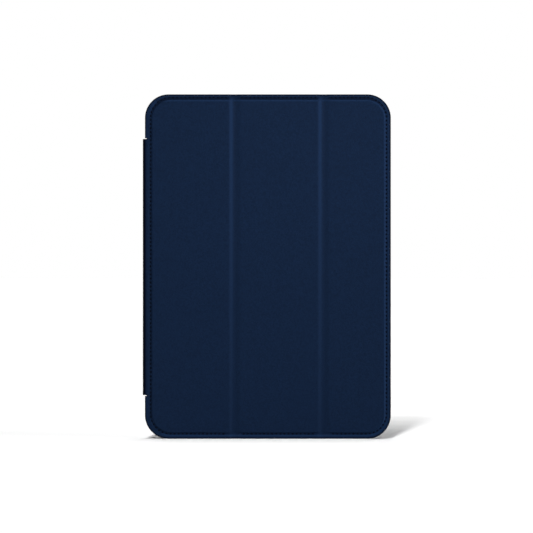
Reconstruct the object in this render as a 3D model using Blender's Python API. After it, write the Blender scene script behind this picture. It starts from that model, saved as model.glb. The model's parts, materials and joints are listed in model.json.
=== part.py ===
"""Tablet keyboard case, closed and standing on its bottom edge.

A moulded tray holds the tablet. A soft spine joins it to a cover of three stiff panels, which fold
at two soft channels. A thin wireless keyboard lies between the cover and the tray, held to the
cover by magnets.

Metres, +Z up. The cover's outer face looks to -Y, the spine is at -X, and the origin is the
bottom centre of the whole closed case.
"""

import math

import bmesh
import bpy
from mathutils import Matrix, Vector

# The tablet that the tray is made for, in portrait
TABLET_WIDTH = 0.1775
TABLET_HEIGHT = 0.2497
TABLET_DEPTH = 0.0053
TABLET_SIDE_PLAY = 0.00015
TABLET_DEPTH_PLAY = 0.0002

# Sheet materials of the folio
SKIN = 0.0007
LINING = 0.0005
PANEL_BOARD = 0.001
SPINE_BOARD = 0.0006
GLUE = 0.0001

# Moulded tray
SIDE_WALL = 0.00115
END_WALL = 0.0016
TRAY_FLOOR = 0.0012
TRAY_LINING = 0.0004
LIP_DEPTH = 0.0008
LIP_OVERLAP = 0.0011
TRAY_EDGE_RADIUS = 0.0016
CORNER_RADIUS = 0.0173

# How the cover and the back skin lie over the tray
COVER_OVER_TOP = 0.0006
COVER_OVER_FREE_SIDE = 0.0003
COVER_OVER_HINGE_SIDE = 0.0008
BACK_SKIN_INSET = 0.0012
STITCHED_BORDER = 0.0046
FOLD_BORDER = 0.001
LINING_INSET = 0.0008

# Spine and folds
SPINE_FROM_BOTTOM = 0.0321
SPINE_FROM_TOP = 0.0329
SPINE_GAP = 0.00045
SPINE_RELIEF = 0.0006
SPINE_BEND_RADIUS = 0.003
FOLD_REACH = 0.0032
FOLD_CHANNEL = 0.0092
FOLD_END_INSET = 0.0003
MIDDLE_PANEL_WIDTH = 0.0655
FREE_PANEL_WIDTH = 0.0495
FOLD_LAMINATE = SKIN + LINING

# Tray openings and buttons
CAMERA_OPENING = 0.034
CAMERA_RADIUS = 0.009
CAMERA_FROM_SIDE = 0.0045
CAMERA_FROM_TOP = 0.0065
BEZEL_WALL = 0.0009
BEZEL_GAP = 0.0002
BUTTON_GAP = 0.0003
BUTTON_WIDTH = 0.0026
BUTTON_PROUD = 0.00025
BUTTON_SEAT = 0.00012
VOLUME_LENGTH = 0.014
VOLUME_UP_FROM_TOP = 0.041
VOLUME_SPACING = 0.018
POWER_LENGTH = 0.015
POWER_FROM_SIDE = 0.0235
PORT_LENGTH = 0.0135
PORT_WIDTH = 0.0052
SPEAKER_LENGTH = 0.022
SPEAKER_WIDTH = 0.0022
SPEAKER_FROM_SIDE = 0.047

# Magnets, set into the panel boards
MAGNET_LENGTH = 0.028
MAGNET_WIDTH = 0.0075
MAGNET_DEPTH = 0.0008
MAGNET_GAP = 0.0002
SLEEP_MAGNET_LENGTH = 0.01
HOLDING_MAGNET_FROM_END = 0.067
CLOSING_MAGNET_FROM_END = 0.042

# Keyboard, whose own depths are counted from its underside
KEYBOARD_DEPTH = 0.0058
KEYBOARD_FROM_ENDS = 0.0044
KEYBOARD_FROM_SPINE = 0.0044
KEYBOARD_FROM_FREE_SIDE = 0.0045
KEYBOARD_RADIUS = 0.012
PAD_SPACE = 0.0008
SCREEN_GAP = 0.0004
BASE_FLOOR = 0.0008
BASE_WALL = 0.0012
BASE_DEPTH = 0.004
DECK = 0.0008
BUMPER_WIDTH = 0.0026
BUMPER_EDGE = 0.0012
PAD_DIAMETER = 0.009
PAD_INSET = 0.016

# Keys, whose rows fill the keyboard's length
KEYS_FROM_END = 0.0063
KEYS_FROM_EDGE = 0.0078
ROW_PITCH = 0.016
FUNCTION_ROW_PITCH = 0.0098
KEY_SPACE = 0.0024
KEY_CLEARANCE = 0.0003
KEY_TAPER = 0.92
KEY_WEB = 0.0004
KEY_WEB_MARGIN = 0.0006
KEY_TRAVEL = 0.0012
KEY_STOP = 0.0001
KEY_PROUD = 0.0007

MEMBRANE = 0.0004
MEMBRANE_FROM_END = 0.0075
HOLDING_PLATE = 0.0004
BATTERY = 0.0024
BATTERY_SPACE = 0.006
CONTROLLER = 0.0008
CONTROLLER_SPACE = 0.009
TOUCHPAD_LENGTH = 0.1
TOUCHPAD_RADIUS = 0.003
TOUCHPAD_PLATE = 0.00085
TOUCHPAD_BELOW_DECK = 0.0001
TOUCHPAD_FROM_KEYS = 0.0095
TOUCHPAD_FROM_EDGE = 0.0075
TOUCHPAD_BOARD = 0.0011
TOUCHPAD_BOARD_INSET = 0.009
SOCKET_LENGTH = 0.0092
SOCKET_WIDTH = 0.003
SOCKET_WALL = 0.0003
SOCKET_REACH = 0.0066
SOCKET_FROM_EDGE = 0.05
SWITCH_LENGTH = 0.0042
SWITCH_WIDTH = 0.0015
SWITCH_TRAVEL = 0.002
SWITCH_REACH = 0.0026
SWITCH_PROUD = 0.0005
SWITCH_FROM_EDGE = 0.03
LAMP_SPACING = 0.0045
LAMP_LENGTH = 0.0022
LAMP_WIDTH = 0.0009
LAMP_COUNT = 3
LAMP_FROM_EDGE = 0.004

# Key widths in each row, in pitches, from the left of the keyboard
KEY_ROWS = (
    ("function_keys", FUNCTION_ROW_PITCH, [1.0] * 14),
    ("number_keys", ROW_PITCH, [0.75] + [1.0] * 12 + [1.25]),
    ("upper_letter_keys", ROW_PITCH, [1.25] + [1.0] * 12 + [0.75]),
    ("home_letter_keys", ROW_PITCH, [1.5] + [1.0] * 11),
    ("lower_letter_keys", ROW_PITCH, [2.0] + [1.0] * 12),
    ("left_modifier_keys", ROW_PITCH, [1.0, 1.0, 1.0, 1.25]),
)
ENTER_KEY_WIDTH = 1.5
SPACE_BAR_WIDTH = 4.75
RIGHT_MODIFIER_WIDTHS = [1.0] * 5

# Depths through the closed case, from the cover's outer face to the back skin
COVER = SKIN + GLUE + PANEL_BOARD + GLUE + LINING
TRAY = LIP_DEPTH + TABLET_DEPTH + TABLET_DEPTH_PLAY + TRAY_LINING + GLUE + TRAY_FLOOR
CASE_DEPTH = COVER + PAD_SPACE + KEYBOARD_DEPTH + SCREEN_GAP + TRAY + GLUE + SKIN
FRONT_Y = -CASE_DEPTH / 2
BACK_Y = CASE_DEPTH / 2
COVER_INNER_Y = FRONT_Y + COVER
KEYBOARD_Y = COVER_INNER_Y + PAD_SPACE
TRAY_Y = KEYBOARD_Y + KEYBOARD_DEPTH + SCREEN_GAP
TRAY_BACK_Y = TRAY_Y + TRAY
TRAY_FLOOR_Y = TRAY_BACK_Y - TRAY_FLOOR
TRAY_LINING_Y = TRAY_FLOOR_Y - GLUE - TRAY_LINING
TABLET_Y = TRAY_Y + LIP_DEPTH + (TABLET_DEPTH + TABLET_DEPTH_PLAY) / 2

# Across the closed case, from the spine to the free side
SPINE = SKIN + GLUE + SPINE_BOARD + GLUE + LINING
TRAY_WIDTH = TABLET_WIDTH + 2 * (TABLET_SIDE_PLAY + SIDE_WALL)
CASE_WIDTH = SPINE + SPINE_GAP + TRAY_WIDTH + COVER_OVER_FREE_SIDE
SPINE_X = -CASE_WIDTH / 2
FREE_X = CASE_WIDTH / 2
TRAY_LEFT_X = SPINE_X + SPINE + SPINE_GAP
TRAY_RIGHT_X = TRAY_LEFT_X + TRAY_WIDTH
COVER_LEFT_X = TRAY_LEFT_X - COVER_OVER_HINGE_SIDE
KEYBOARD_LEFT_X = SPINE_X + SPINE + KEYBOARD_FROM_SPINE
KEYBOARD_RIGHT_X = FREE_X - KEYBOARD_FROM_FREE_SIDE

# Up the closed case
TRAY_HEIGHT = TABLET_HEIGHT + 2 * (TABLET_SIDE_PLAY + END_WALL)
COVER_HEIGHT = TRAY_HEIGHT + COVER_OVER_TOP
SPINE_BOTTOM = SPINE_FROM_BOTTOM
SPINE_TOP = COVER_HEIGHT - SPINE_FROM_TOP
KEYBOARD_BOTTOM = KEYBOARD_FROM_ENDS
KEYBOARD_TOP = COVER_HEIGHT - KEYBOARD_FROM_ENDS
MIDDLE_Z = COVER_HEIGHT / 2

# Axes of the four soft hinges, all parallel to Z, as (x, y)
REAR_SPINE_AXIS = (SPINE_X + SPINE / 2, BACK_Y - SPINE / 2)
FRONT_SPINE_AXIS = (SPINE_X + SPINE / 2, FRONT_Y + COVER / 2)
SECOND_FOLD_AXIS = (FREE_X - FREE_PANEL_WIDTH, FRONT_Y)
FIRST_FOLD_AXIS = (SECOND_FOLD_AXIS[0] - MIDDLE_PANEL_WIDTH, FRONT_Y)

# Where the stiff pieces stop at each soft hinge
NOTCH_X = FRONT_SPINE_AXIS[0] + FOLD_REACH
HINGE_PANEL = (COVER_LEFT_X, FIRST_FOLD_AXIS[0] - FOLD_CHANNEL / 2)
MIDDLE_PANEL = (FIRST_FOLD_AXIS[0] + FOLD_CHANNEL / 2, SECOND_FOLD_AXIS[0] - FOLD_CHANNEL / 2)
FREE_PANEL = (SECOND_FOLD_AXIS[0] + FOLD_CHANNEL / 2, FREE_X)

ARC_STEPS = 8
PAST = 0.003

# Planes in which an outline is drawn, with the way its thickness runs
FACING_FRONT = Matrix.Rotation(math.radians(90), 4, "X")
FACING_SIDE = Matrix(((0, 0, 1, 0), (1, 0, 0, 0), (0, 1, 0, 0), (0, 0, 0, 1)))
LYING_FLAT = Matrix.Identity(4)


def clear_scene():
    for old in list(bpy.data.objects):
        bpy.data.objects.remove(old, do_unlink=True)
    case = bpy.data.collections.new("tablet_keyboard_case")
    cutters = bpy.data.collections.new("cutters")
    bpy.context.scene.collection.children.link(case)
    bpy.context.scene.collection.children.link(cutters)
    return case, cutters


CASE, CUTTERS = clear_scene()


def finish(name, colour, roughness, metallic=0.0):
    """A plain material for one finish."""
    made = bpy.data.materials.new(name)
    made.use_nodes = True
    shader = made.node_tree.nodes["Principled BSDF"]
    shader.inputs["Base Color"].default_value = (*colour, 1.0)
    shader.inputs["Roughness"].default_value = roughness
    shader.inputs["Metallic"].default_value = metallic
    made.diffuse_color = (*colour, 1.0)
    return made


NAVY_SKIN = finish("navy_skin", (0.0075, 0.0176, 0.0467), 0.55)
NAVY_LINING = finish("navy_lining", (0.009, 0.017, 0.038), 0.95)
NAVY_PLASTIC = finish("navy_plastic", (0.007, 0.015, 0.038), 0.45)
GREY_BOARD = finish("grey_board", (0.32, 0.31, 0.29), 0.9)
MAGNET_METAL = finish("magnet_metal", (0.55, 0.55, 0.56), 0.3, 1.0)
DARK_PLASTIC = finish("dark_plastic", (0.018, 0.02, 0.026), 0.5)
KEY_PLASTIC = finish("key_plastic", (0.012, 0.013, 0.016), 0.55)
GREEN_BOARD = finish("green_board", (0.02, 0.12, 0.05), 0.6)
POUCH_FOIL = finish("pouch_foil", (0.6, 0.6, 0.6), 0.35, 1.0)
BLACK_RUBBER = finish("black_rubber", (0.012, 0.012, 0.013), 0.85)
CLEAR_LENS = finish("clear_lens", (0.7, 0.75, 0.8), 0.15)


def filleted(corners, steps=ARC_STEPS):
    """Points round a closed outline, whose corners are given as (x, y, radius)."""
    points = []
    for i, (x, y, radius) in enumerate(corners):
        corner = Vector((x, y))
        before = (Vector(corners[i - 1][:2]) - corner).normalized()
        after = (Vector(corners[(i + 1) % len(corners)][:2]) - corner).normalized()
        if radius <= 0:
            points.append(corner)
            continue
        half = before.angle(after) / 2
        centre = corner + (before + after).normalized() * radius / math.sin(half)
        start = corner + before * radius / math.tan(half) - centre
        end = corner + after * radius / math.tan(half) - centre
        turn = math.atan2(start.x * end.y - start.y * end.x, start.dot(end))
        for step in range(steps + 1):
            spun = start.copy()
            spun.rotate(Matrix.Rotation(turn * step / steps, 2))
            points.append(centre + spun)
    return points


def rectangle(left, right, bottom, top, radius=0.0, steps=ARC_STEPS):
    """An upright rectangle with round corners."""
    sides = ((left, bottom), (right, bottom), (right, top), (left, top))
    return filleted([(x, y, radius) for x, y in sides], steps)


def plate(name, outlines, near, far, plane=FACING_FRONT, look=NAVY_PLASTIC, edge=0.0):
    """A flat piece between two depths: the first outline is its edge and the others are holes."""
    curve = bpy.data.curves.new(name, "CURVE")
    curve.dimensions = "2D"
    curve.fill_mode = "BOTH"
    curve.extrude = (far - near) / 2 - edge
    curve.bevel_depth = edge
    curve.bevel_resolution = 1
    curve.offset = -edge
    for outline in outlines:
        spline = curve.splines.new("POLY")
        spline.points.add(len(outline) - 1)
        for point, (x, y) in zip(spline.points, outline):
            point.co = (x, y, 0, 1)
        spline.use_cyclic_u = True
    curve.materials.append(look)
    made = bpy.data.objects.new(name, curve)
    CASE.objects.link(made)
    if plane is FACING_FRONT:
        shift = (0, (near + far) / 2, 0)
    elif plane is FACING_SIDE:
        shift = ((near + far) / 2, 0, 0)
    else:
        shift = (0, 0, (near + far) / 2)
    made.matrix_world = Matrix.Translation(shift) @ plane
    return as_mesh(made)


def as_mesh(curve_object):
    """The same piece as a welded mesh, so that it can be cut."""
    bpy.context.view_layer.update()
    graph = bpy.context.evaluated_depsgraph_get()
    mesh = bpy.data.meshes.new_from_object(curve_object.evaluated_get(graph))
    welded = bmesh.new()
    welded.from_mesh(mesh)
    bmesh.ops.remove_doubles(welded, verts=welded.verts, dist=1e-7)
    bmesh.ops.recalc_face_normals(welded, faces=welded.faces)
    welded.to_mesh(mesh)
    welded.free()
    name, place = curve_object.name, curve_object.matrix_world.copy()
    bpy.data.objects.remove(curve_object, do_unlink=True)
    made = bpy.data.objects.new(name, mesh)
    CASE.objects.link(made)
    made.matrix_world = place
    return made


def block(name, low, high, look=NAVY_PLASTIC):
    """A box between two opposite corners."""
    mesh = bpy.data.meshes.new(name)
    box = bmesh.new()
    bmesh.ops.create_cube(box, size=1.0)
    bmesh.ops.scale(box, verts=box.verts, vec=Vector(high) - Vector(low))
    box.to_mesh(mesh)
    box.free()
    mesh.materials.append(look)
    made = bpy.data.objects.new(name, mesh)
    made.location = (Vector(low) + Vector(high)) / 2
    CASE.objects.link(made)
    return made


def cut(piece, *tools):
    """Takes each tool out of the piece, and keeps the tool as a hidden guide."""
    for tool in tools:
        for used in list(tool.users_collection):
            used.objects.unlink(tool)
        CUTTERS.objects.link(tool)
        tool.hide_render = True
        tool.display_type = "WIRE"
        boolean = piece.modifiers.new("cut_" + tool.name, "BOOLEAN")
        boolean.operation = "DIFFERENCE"
        boolean.object = tool


def slot(name, centre_x, centre_y, length, width, near, far, plane, upright=False):
    """A cutter with round ends."""
    if upright:
        length, width = width, length
    ends = rectangle(
        centre_x - length / 2,
        centre_x + length / 2,
        centre_y - width / 2,
        centre_y + width / 2,
        min(length, width) * 0.49,
        4,
    )
    return plate(name, [ends], near, far, plane)


def studded_bar(name, low, high, studs, top, look, taper=1.0):
    """A flat bar across the keyboard with a stud for each (left, right, bottom, top), rising to +Y."""
    mesh = bpy.data.meshes.new(name)
    bar = bmesh.new()
    bmesh.ops.create_cube(bar, size=1.0)
    bmesh.ops.scale(bar, verts=bar.verts, vec=Vector(high) - Vector(low))
    bmesh.ops.translate(bar, verts=bar.verts, vec=(Vector(low) + Vector(high)) / 2)
    lines = {((value, 0, 0), (1, 0, 0)) for stud in studs for value in stud[:2]}
    lines |= {((0, 0, value), (0, 0, 1)) for stud in studs for value in stud[2:]}
    for point, normal in sorted(lines):
        geometry = bar.verts[:] + bar.edges[:] + bar.faces[:]
        bmesh.ops.bisect_plane(bar, geom=geometry, dist=1e-7, plane_co=point, plane_no=normal)
    for left, right, bottom, over in studs:
        tops = [
            face
            for face in bar.faces
            if face.normal.y > 0.9
            and left < face.calc_center_median().x < right
            and bottom < face.calc_center_median().z < over
        ]
        grown = bmesh.ops.extrude_face_region(bar, geom=tops)["geom"]
        raised = [item for item in grown if isinstance(item, bmesh.types.BMVert)]
        bmesh.ops.translate(bar, verts=raised, vec=(0, top - high[1], 0))
        bmesh.ops.delete(bar, geom=tops, context="FACES")
        middle = Matrix.Translation((-(left + right) / 2, 0, -(bottom + over) / 2))
        bmesh.ops.scale(bar, verts=raised, vec=(taper, 1, taper), space=middle)
    flat = [edge for edge in bar.edges if edge.is_manifold and edge.calc_face_angle() < 1e-4]
    bmesh.ops.dissolve_edges(bar, edges=flat, use_verts=True)
    bmesh.ops.recalc_face_normals(bar, faces=bar.faces)
    bar.to_mesh(mesh)
    bar.free()
    mesh.materials.append(look)
    made = bpy.data.objects.new(name, mesh)
    CASE.objects.link(made)
    return made


def smooth(piece, degrees=35):
    piece.data.shade_smooth()
    piece.data.set_sharp_from_angle(angle=math.radians(degrees))


def folio_outline(left, right, outer_inset, fold_inset, rounded_left, rounded_right, top):
    """One panel of the folio. A side with rounded corners is an outer side, the other lies at a fold."""
    low, high = outer_inset, top - outer_inset
    radius = max(CORNER_RADIUS - outer_inset, 0.001)
    start = left + (outer_inset if rounded_left else fold_inset)
    stop = right - (outer_inset if rounded_right else fold_inset)
    left_radius = radius if rounded_left else 0.0
    right_radius = radius if rounded_right else 0.0
    corners = [(start, low, left_radius), (stop, low, right_radius)]
    corners += [(stop, high, right_radius), (start, high, left_radius)]
    if rounded_left:
        notch = NOTCH_X + fold_inset
        above = SPINE_TOP + SPINE_RELIEF
        below = SPINE_BOTTOM - SPINE_RELIEF
        if notch > start:
            corners += [(start, above, 0), (notch, above, 0), (notch, below, 0), (start, below, 0)]
    return filleted(corners)


# ---- tray ------------------------------------------------------------------------------------


def tray_outline(inset=0.0, radius=CORNER_RADIUS):
    return rectangle(
        TRAY_LEFT_X + inset, TRAY_RIGHT_X - inset, inset, TRAY_HEIGHT - inset, radius - inset
    )


def tray_cavity_outline(inset=0.0):
    """The tablet's own outline and its play, drawn in by inset."""
    return rectangle(
        TRAY_LEFT_X + SIDE_WALL + inset,
        TRAY_RIGHT_X - SIDE_WALL - inset,
        END_WALL + inset,
        TRAY_HEIGHT - END_WALL - inset,
        CORNER_RADIUS - SIDE_WALL - inset,
    )


CAMERA_X = TRAY_RIGHT_X - SIDE_WALL - CAMERA_FROM_SIDE - CAMERA_OPENING / 2
CAMERA_Z = TRAY_HEIGHT - END_WALL - CAMERA_FROM_TOP - CAMERA_OPENING / 2
VOLUME_UP_Z = TRAY_HEIGHT - VOLUME_UP_FROM_TOP
VOLUME_DOWN_Z = VOLUME_UP_Z - VOLUME_SPACING
POWER_X = TRAY_RIGHT_X - POWER_FROM_SIDE


def camera_outline(grow):
    reach = CAMERA_OPENING / 2 + grow
    return rectangle(
        CAMERA_X - reach,
        CAMERA_X + reach,
        CAMERA_Z - reach,
        CAMERA_Z + reach,
        CAMERA_RADIUS + grow,
        6,
    )


def build_tray():
    shell = plate("back_shell", [tray_outline()], TRAY_Y, TRAY_BACK_Y, edge=TRAY_EDGE_RADIUS)
    bay = plate("tablet_bay", [tray_cavity_outline()], TRAY_Y + LIP_DEPTH, TRAY_FLOOR_Y)
    mouth = plate(
        "tray_mouth", [tray_cavity_outline(LIP_OVERLAP)], TRAY_Y - PAST, TRAY_Y + LIP_DEPTH + PAST
    )
    camera = plate(
        "camera_cutter", [camera_outline(BEZEL_WALL + BEZEL_GAP)], TRAY_FLOOR_Y - PAST, BACK_Y + PAST
    )
    port = slot(
        "port_cutter", TRAY_LEFT_X + TRAY_WIDTH / 2, TABLET_Y, PORT_LENGTH, PORT_WIDTH,
        -PAST, END_WALL + PAST / 2, LYING_FLAT,
    )
    cut(shell, bay, mouth, camera, port)
    speaker_offset = TRAY_WIDTH / 2 - SPEAKER_FROM_SIDE
    for end, near in (("bottom", -PAST), ("top", TRAY_HEIGHT - END_WALL - PAST / 2)):
        for side in (-1, 1):
            x = TRAY_LEFT_X + TRAY_WIDTH / 2 + side * speaker_offset
            sound = slot(
                f"{end}_speaker_cutter_{'left' if side < 0 else 'right'}", x, TABLET_Y,
                SPEAKER_LENGTH, SPEAKER_WIDTH, near, near + END_WALL + 1.5 * PAST, LYING_FLAT,
            )
            cut(shell, sound)
    button_hole = BUTTON_WIDTH + 2 * BUTTON_GAP
    for name, z in (("volume_up", VOLUME_UP_Z), ("volume_down", VOLUME_DOWN_Z)):
        hole = slot(
            name + "_cutter", TABLET_Y, z, VOLUME_LENGTH + 2 * BUTTON_GAP, button_hole,
            TRAY_RIGHT_X - SIDE_WALL - PAST / 2, TRAY_RIGHT_X + PAST, FACING_SIDE, upright=True,
        )
        cut(shell, hole)
    hole = slot(
        "power_cutter", POWER_X, TABLET_Y, POWER_LENGTH + 2 * BUTTON_GAP, button_hole,
        TRAY_HEIGHT - END_WALL - PAST / 2, TRAY_HEIGHT + PAST, LYING_FLAT,
    )
    cut(shell, hole)
    smooth(shell)

    bezel = plate(
        "camera_bezel", [camera_outline(BEZEL_WALL), camera_outline(0)], TRAY_LINING_Y, BACK_Y,
        look=DARK_PLASTIC,
    )
    smooth(bezel)
    plate(
        "tray_lining", [tray_cavity_outline(GLUE), camera_outline(BEZEL_WALL + BEZEL_GAP)],
        TRAY_LINING_Y, TRAY_LINING_Y + TRAY_LINING, look=NAVY_LINING,
    )
    skin_top = TRAY_HEIGHT - BACK_SKIN_INSET
    left = TRAY_LEFT_X + BACK_SKIN_INSET
    right = TRAY_RIGHT_X - BACK_SKIN_INSET
    radius = CORNER_RADIUS - BACK_SKIN_INSET
    notch = REAR_SPINE_AXIS[0] + FOLD_REACH
    above, below = SPINE_TOP + SPINE_RELIEF, SPINE_BOTTOM - SPINE_RELIEF
    corners = [(left, BACK_SKIN_INSET, radius), (right, BACK_SKIN_INSET, radius)]
    corners += [(right, skin_top, radius), (left, skin_top, radius)]
    if notch > left:
        corners += [(left, above, 0), (notch, above, 0), (notch, below, 0), (left, below, 0)]
    hole = camera_outline(BEZEL_WALL + BEZEL_GAP)
    plate("back_skin", [filleted(corners), hole], BACK_Y - SKIN, BACK_Y, look=NAVY_SKIN)


def build_buttons():
    """Button caps in the tray's walls, each sliding in towards the tablet."""
    inner = TRAY_RIGHT_X - SIDE_WALL + BUTTON_SEAT
    for name, z in (("volume_up_button", VOLUME_UP_Z), ("volume_down_button", VOLUME_DOWN_Z)):
        cap = slot(
            name, TABLET_Y, z, VOLUME_LENGTH, BUTTON_WIDTH, inner, TRAY_RIGHT_X + BUTTON_PROUD,
            FACING_SIDE, upright=True,
        )
        smooth(cap)
    inner = TRAY_HEIGHT - END_WALL + BUTTON_SEAT
    cap = slot(
        "power_button", POWER_X, TABLET_Y, POWER_LENGTH, BUTTON_WIDTH, inner,
        TRAY_HEIGHT + BUTTON_PROUD, LYING_FLAT,
    )
    smooth(cap)


# ---- folio -----------------------------------------------------------------------------------


def magnet_hole(x, z, length):
    width, height = MAGNET_WIDTH / 2 + MAGNET_GAP, length / 2 + MAGNET_GAP
    return rectangle(x - width, x + width, z - height, z + height)


def build_panel(name, span, rounded_left, rounded_right, magnets):
    """A stiff panel: the outer skin with its turned border, the board in it, its magnets, the lining."""
    left, right = span
    sides = (rounded_left, rounded_right, COVER_HEIGHT)
    board_y = FRONT_Y + SKIN + GLUE
    lining_y = board_y + PANEL_BOARD + GLUE
    outer = folio_outline(left, right, 0.0, 0.0, *sides)
    skin = plate(name + "_skin", [outer], FRONT_Y, lining_y - GLUE, look=NAVY_SKIN)
    pocket = folio_outline(left, right, STITCHED_BORDER, FOLD_BORDER, *sides)
    cut(skin, plate(name + "_pocket", [pocket], FRONT_Y + SKIN, lining_y + PAST))
    holes = [magnet_hole(x, z, length) for _, x, z, length in magnets]
    board = folio_outline(left, right, STITCHED_BORDER + GLUE, FOLD_BORDER + GLUE, *sides)
    plate(name + "_board", [board, *holes], board_y, board_y + PANEL_BOARD, look=GREY_BOARD)
    magnet_y = board_y + (PANEL_BOARD - MAGNET_DEPTH) / 2
    for magnet, x, z, length in magnets:
        low = (x - MAGNET_WIDTH / 2, magnet_y, z - length / 2)
        high = (x + MAGNET_WIDTH / 2, magnet_y + MAGNET_DEPTH, z + length / 2)
        block(magnet, low, high, MAGNET_METAL)
    inside = folio_outline(left, right, LINING_INSET, 0.0, *sides)
    plate(name + "_lining", [inside], lining_y, lining_y + LINING, look=NAVY_LINING)


def magnet_pair(name, x, from_end):
    """An upper and a lower magnet, as (name, x, z, length)."""
    return [
        (name + "_upper", x, COVER_HEIGHT - from_end, MAGNET_LENGTH),
        (name + "_lower", x, from_end, MAGNET_LENGTH),
    ]


HOLDING_MAGNET_X = (NOTCH_X + HINGE_PANEL[1]) / 2
CLOSING_MAGNET_X = FREE_X - STITCHED_BORDER - MAGNET_WIDTH


def build_cover():
    stand_x = sum(MIDDLE_PANEL) / 2
    holding = magnet_pair("holding_magnet", HOLDING_MAGNET_X, HOLDING_MAGNET_FROM_END)
    stand = magnet_pair("stand_magnet", stand_x, HOLDING_MAGNET_FROM_END)
    closing = magnet_pair("closing_magnet", CLOSING_MAGNET_X, CLOSING_MAGNET_FROM_END)
    closing.append(("sleep_magnet", CLOSING_MAGNET_X, MIDDLE_Z, SLEEP_MAGNET_LENGTH))
    build_panel("hinge_panel", HINGE_PANEL, True, False, holding)
    build_panel("middle_panel", MIDDLE_PANEL, False, False, stand)
    build_panel("free_panel", FREE_PANEL, False, True, closing)


def build_cover_folds():
    """The channels between the panels, where skin and lining are pressed together."""
    for name, axis in (("first_cover_fold", FIRST_FOLD_AXIS), ("second_cover_fold", SECOND_FOLD_AXIS)):
        reach = FOLD_CHANNEL / 2 - GLUE
        low = (axis[0] - reach, COVER_INNER_Y - FOLD_LAMINATE, FOLD_END_INSET)
        high = (axis[0] + reach, COVER_INNER_Y, COVER_HEIGHT - FOLD_END_INSET)
        block(name, low, high, NAVY_SKIN)


def spine_fold(name, face_y, inward, sheet, flat_end, spine_end):
    """A sheet bent round the case's edge, from the flat of the cover or back to the side of the spine."""
    bend = SPINE_BEND_RADIUS
    centre = Vector((SPINE_X + bend, face_y + inward * bend))
    outer = [Vector((flat_end, face_y))]
    inner = [Vector((flat_end, face_y + inward * sheet))]
    for step in range(ARC_STEPS + 1):
        angle = math.radians(90) * step / ARC_STEPS
        way = Vector((-math.sin(angle), -inward * math.cos(angle)))
        outer.append(centre + way * bend)
        inner.append(centre + way * (bend - sheet))
    outer.append(Vector((SPINE_X, spine_end)))
    inner.append(Vector((SPINE_X + sheet, spine_end)))
    return plate(
        name, [outer + inner[::-1]], SPINE_BOTTOM, SPINE_TOP, plane=LYING_FLAT, look=NAVY_SKIN
    )


def build_spine():
    near = FRONT_SPINE_AXIS[1] + FOLD_REACH
    far = REAR_SPINE_AXIS[1] - FOLD_REACH
    layers = (
        ("spine_skin", 0.0, SKIN, 0.0, NAVY_SKIN),
        ("spine_board", SKIN + GLUE, SPINE_BOARD, STITCHED_BORDER, GREY_BOARD),
        ("spine_lining", SKIN + SPINE_BOARD + 2 * GLUE, LINING, LINING_INSET, NAVY_LINING),
    )
    for name, start, thickness, end_inset, look in layers:
        low = (SPINE_X + start, near, SPINE_BOTTOM + end_inset)
        high = (SPINE_X + start + thickness, far, SPINE_TOP - end_inset)
        block(name, low, high, look)
    front = spine_fold(
        "front_spine_fold", FRONT_Y, 1, FOLD_LAMINATE, NOTCH_X - GLUE, near - GLUE
    )
    rear = spine_fold(
        "rear_spine_fold", BACK_Y, -1, SKIN, REAR_SPINE_AXIS[0] + FOLD_REACH - GLUE, far + GLUE
    )
    smooth(front)
    smooth(rear)


# ---- keyboard --------------------------------------------------------------------------------


def keyboard_outline(inset):
    return rectangle(
        KEYBOARD_LEFT_X + inset,
        KEYBOARD_RIGHT_X - inset,
        KEYBOARD_BOTTOM + inset,
        KEYBOARD_TOP - inset,
        KEYBOARD_RADIUS - inset,
    )


KEY_PITCH = (KEYBOARD_TOP - KEYBOARD_BOTTOM - 2 * KEYS_FROM_END) / sum(KEY_ROWS[0][2])
KEYS_ACROSS = sum(row[1] for row in KEY_ROWS)
PALM_LEFT_X = KEYBOARD_LEFT_X + KEYS_FROM_EDGE + KEYS_ACROSS
DECK_Y = KEYBOARD_Y + BASE_DEPTH + GLUE
INSIDE_Y = KEYBOARD_Y + BASE_FLOOR + GLUE
MEMBRANE_Y = INSIDE_Y + HOLDING_PLATE + GLUE
KEY_WEB_Y = MEMBRANE_Y + MEMBRANE + KEY_TRAVEL + KEY_STOP


def key_rectangle(along, width, across, pitch, grow=0.0):
    """Sides (left, right, bottom, top) of a key whose cell starts at along and across.

    The rows run down from the top of the closed case, and follow each other away from the spine.
    """
    top = KEYBOARD_TOP - along - KEY_SPACE / 2 + grow
    left = KEYBOARD_LEFT_X + across + KEY_SPACE / 2 - grow
    return (
        left,
        left + pitch - KEY_SPACE + 2 * grow,
        top - width * KEY_PITCH + KEY_SPACE - 2 * grow,
        top,
    )


def key_groups(grow=0.0):
    """Each group of keys that shares a web, as (name, [key rectangles])."""
    first = KEYS_FROM_END
    across = KEYS_FROM_EDGE
    groups = []
    for name, pitch, widths in KEY_ROWS:
        along = first
        keys = []
        for width in widths:
            keys.append(key_rectangle(along, width, across, pitch, grow))
            along += width * KEY_PITCH
        groups.append((name, keys))
        if name == "home_letter_keys":
            enter = key_rectangle(along, ENTER_KEY_WIDTH, across, pitch, grow)
            groups.append(("enter_key", [enter]))
        if name == "left_modifier_keys":
            space = key_rectangle(along, SPACE_BAR_WIDTH, across, pitch, grow)
            groups.append(("space_bar", [space]))
            along += SPACE_BAR_WIDTH * KEY_PITCH
            right = []
            for width in RIGHT_MODIFIER_WIDTHS:
                right.append(key_rectangle(along, width, across, pitch, grow))
                along += width * KEY_PITCH
            groups.append(("right_modifier_keys", right))
        across += pitch
    return groups


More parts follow.
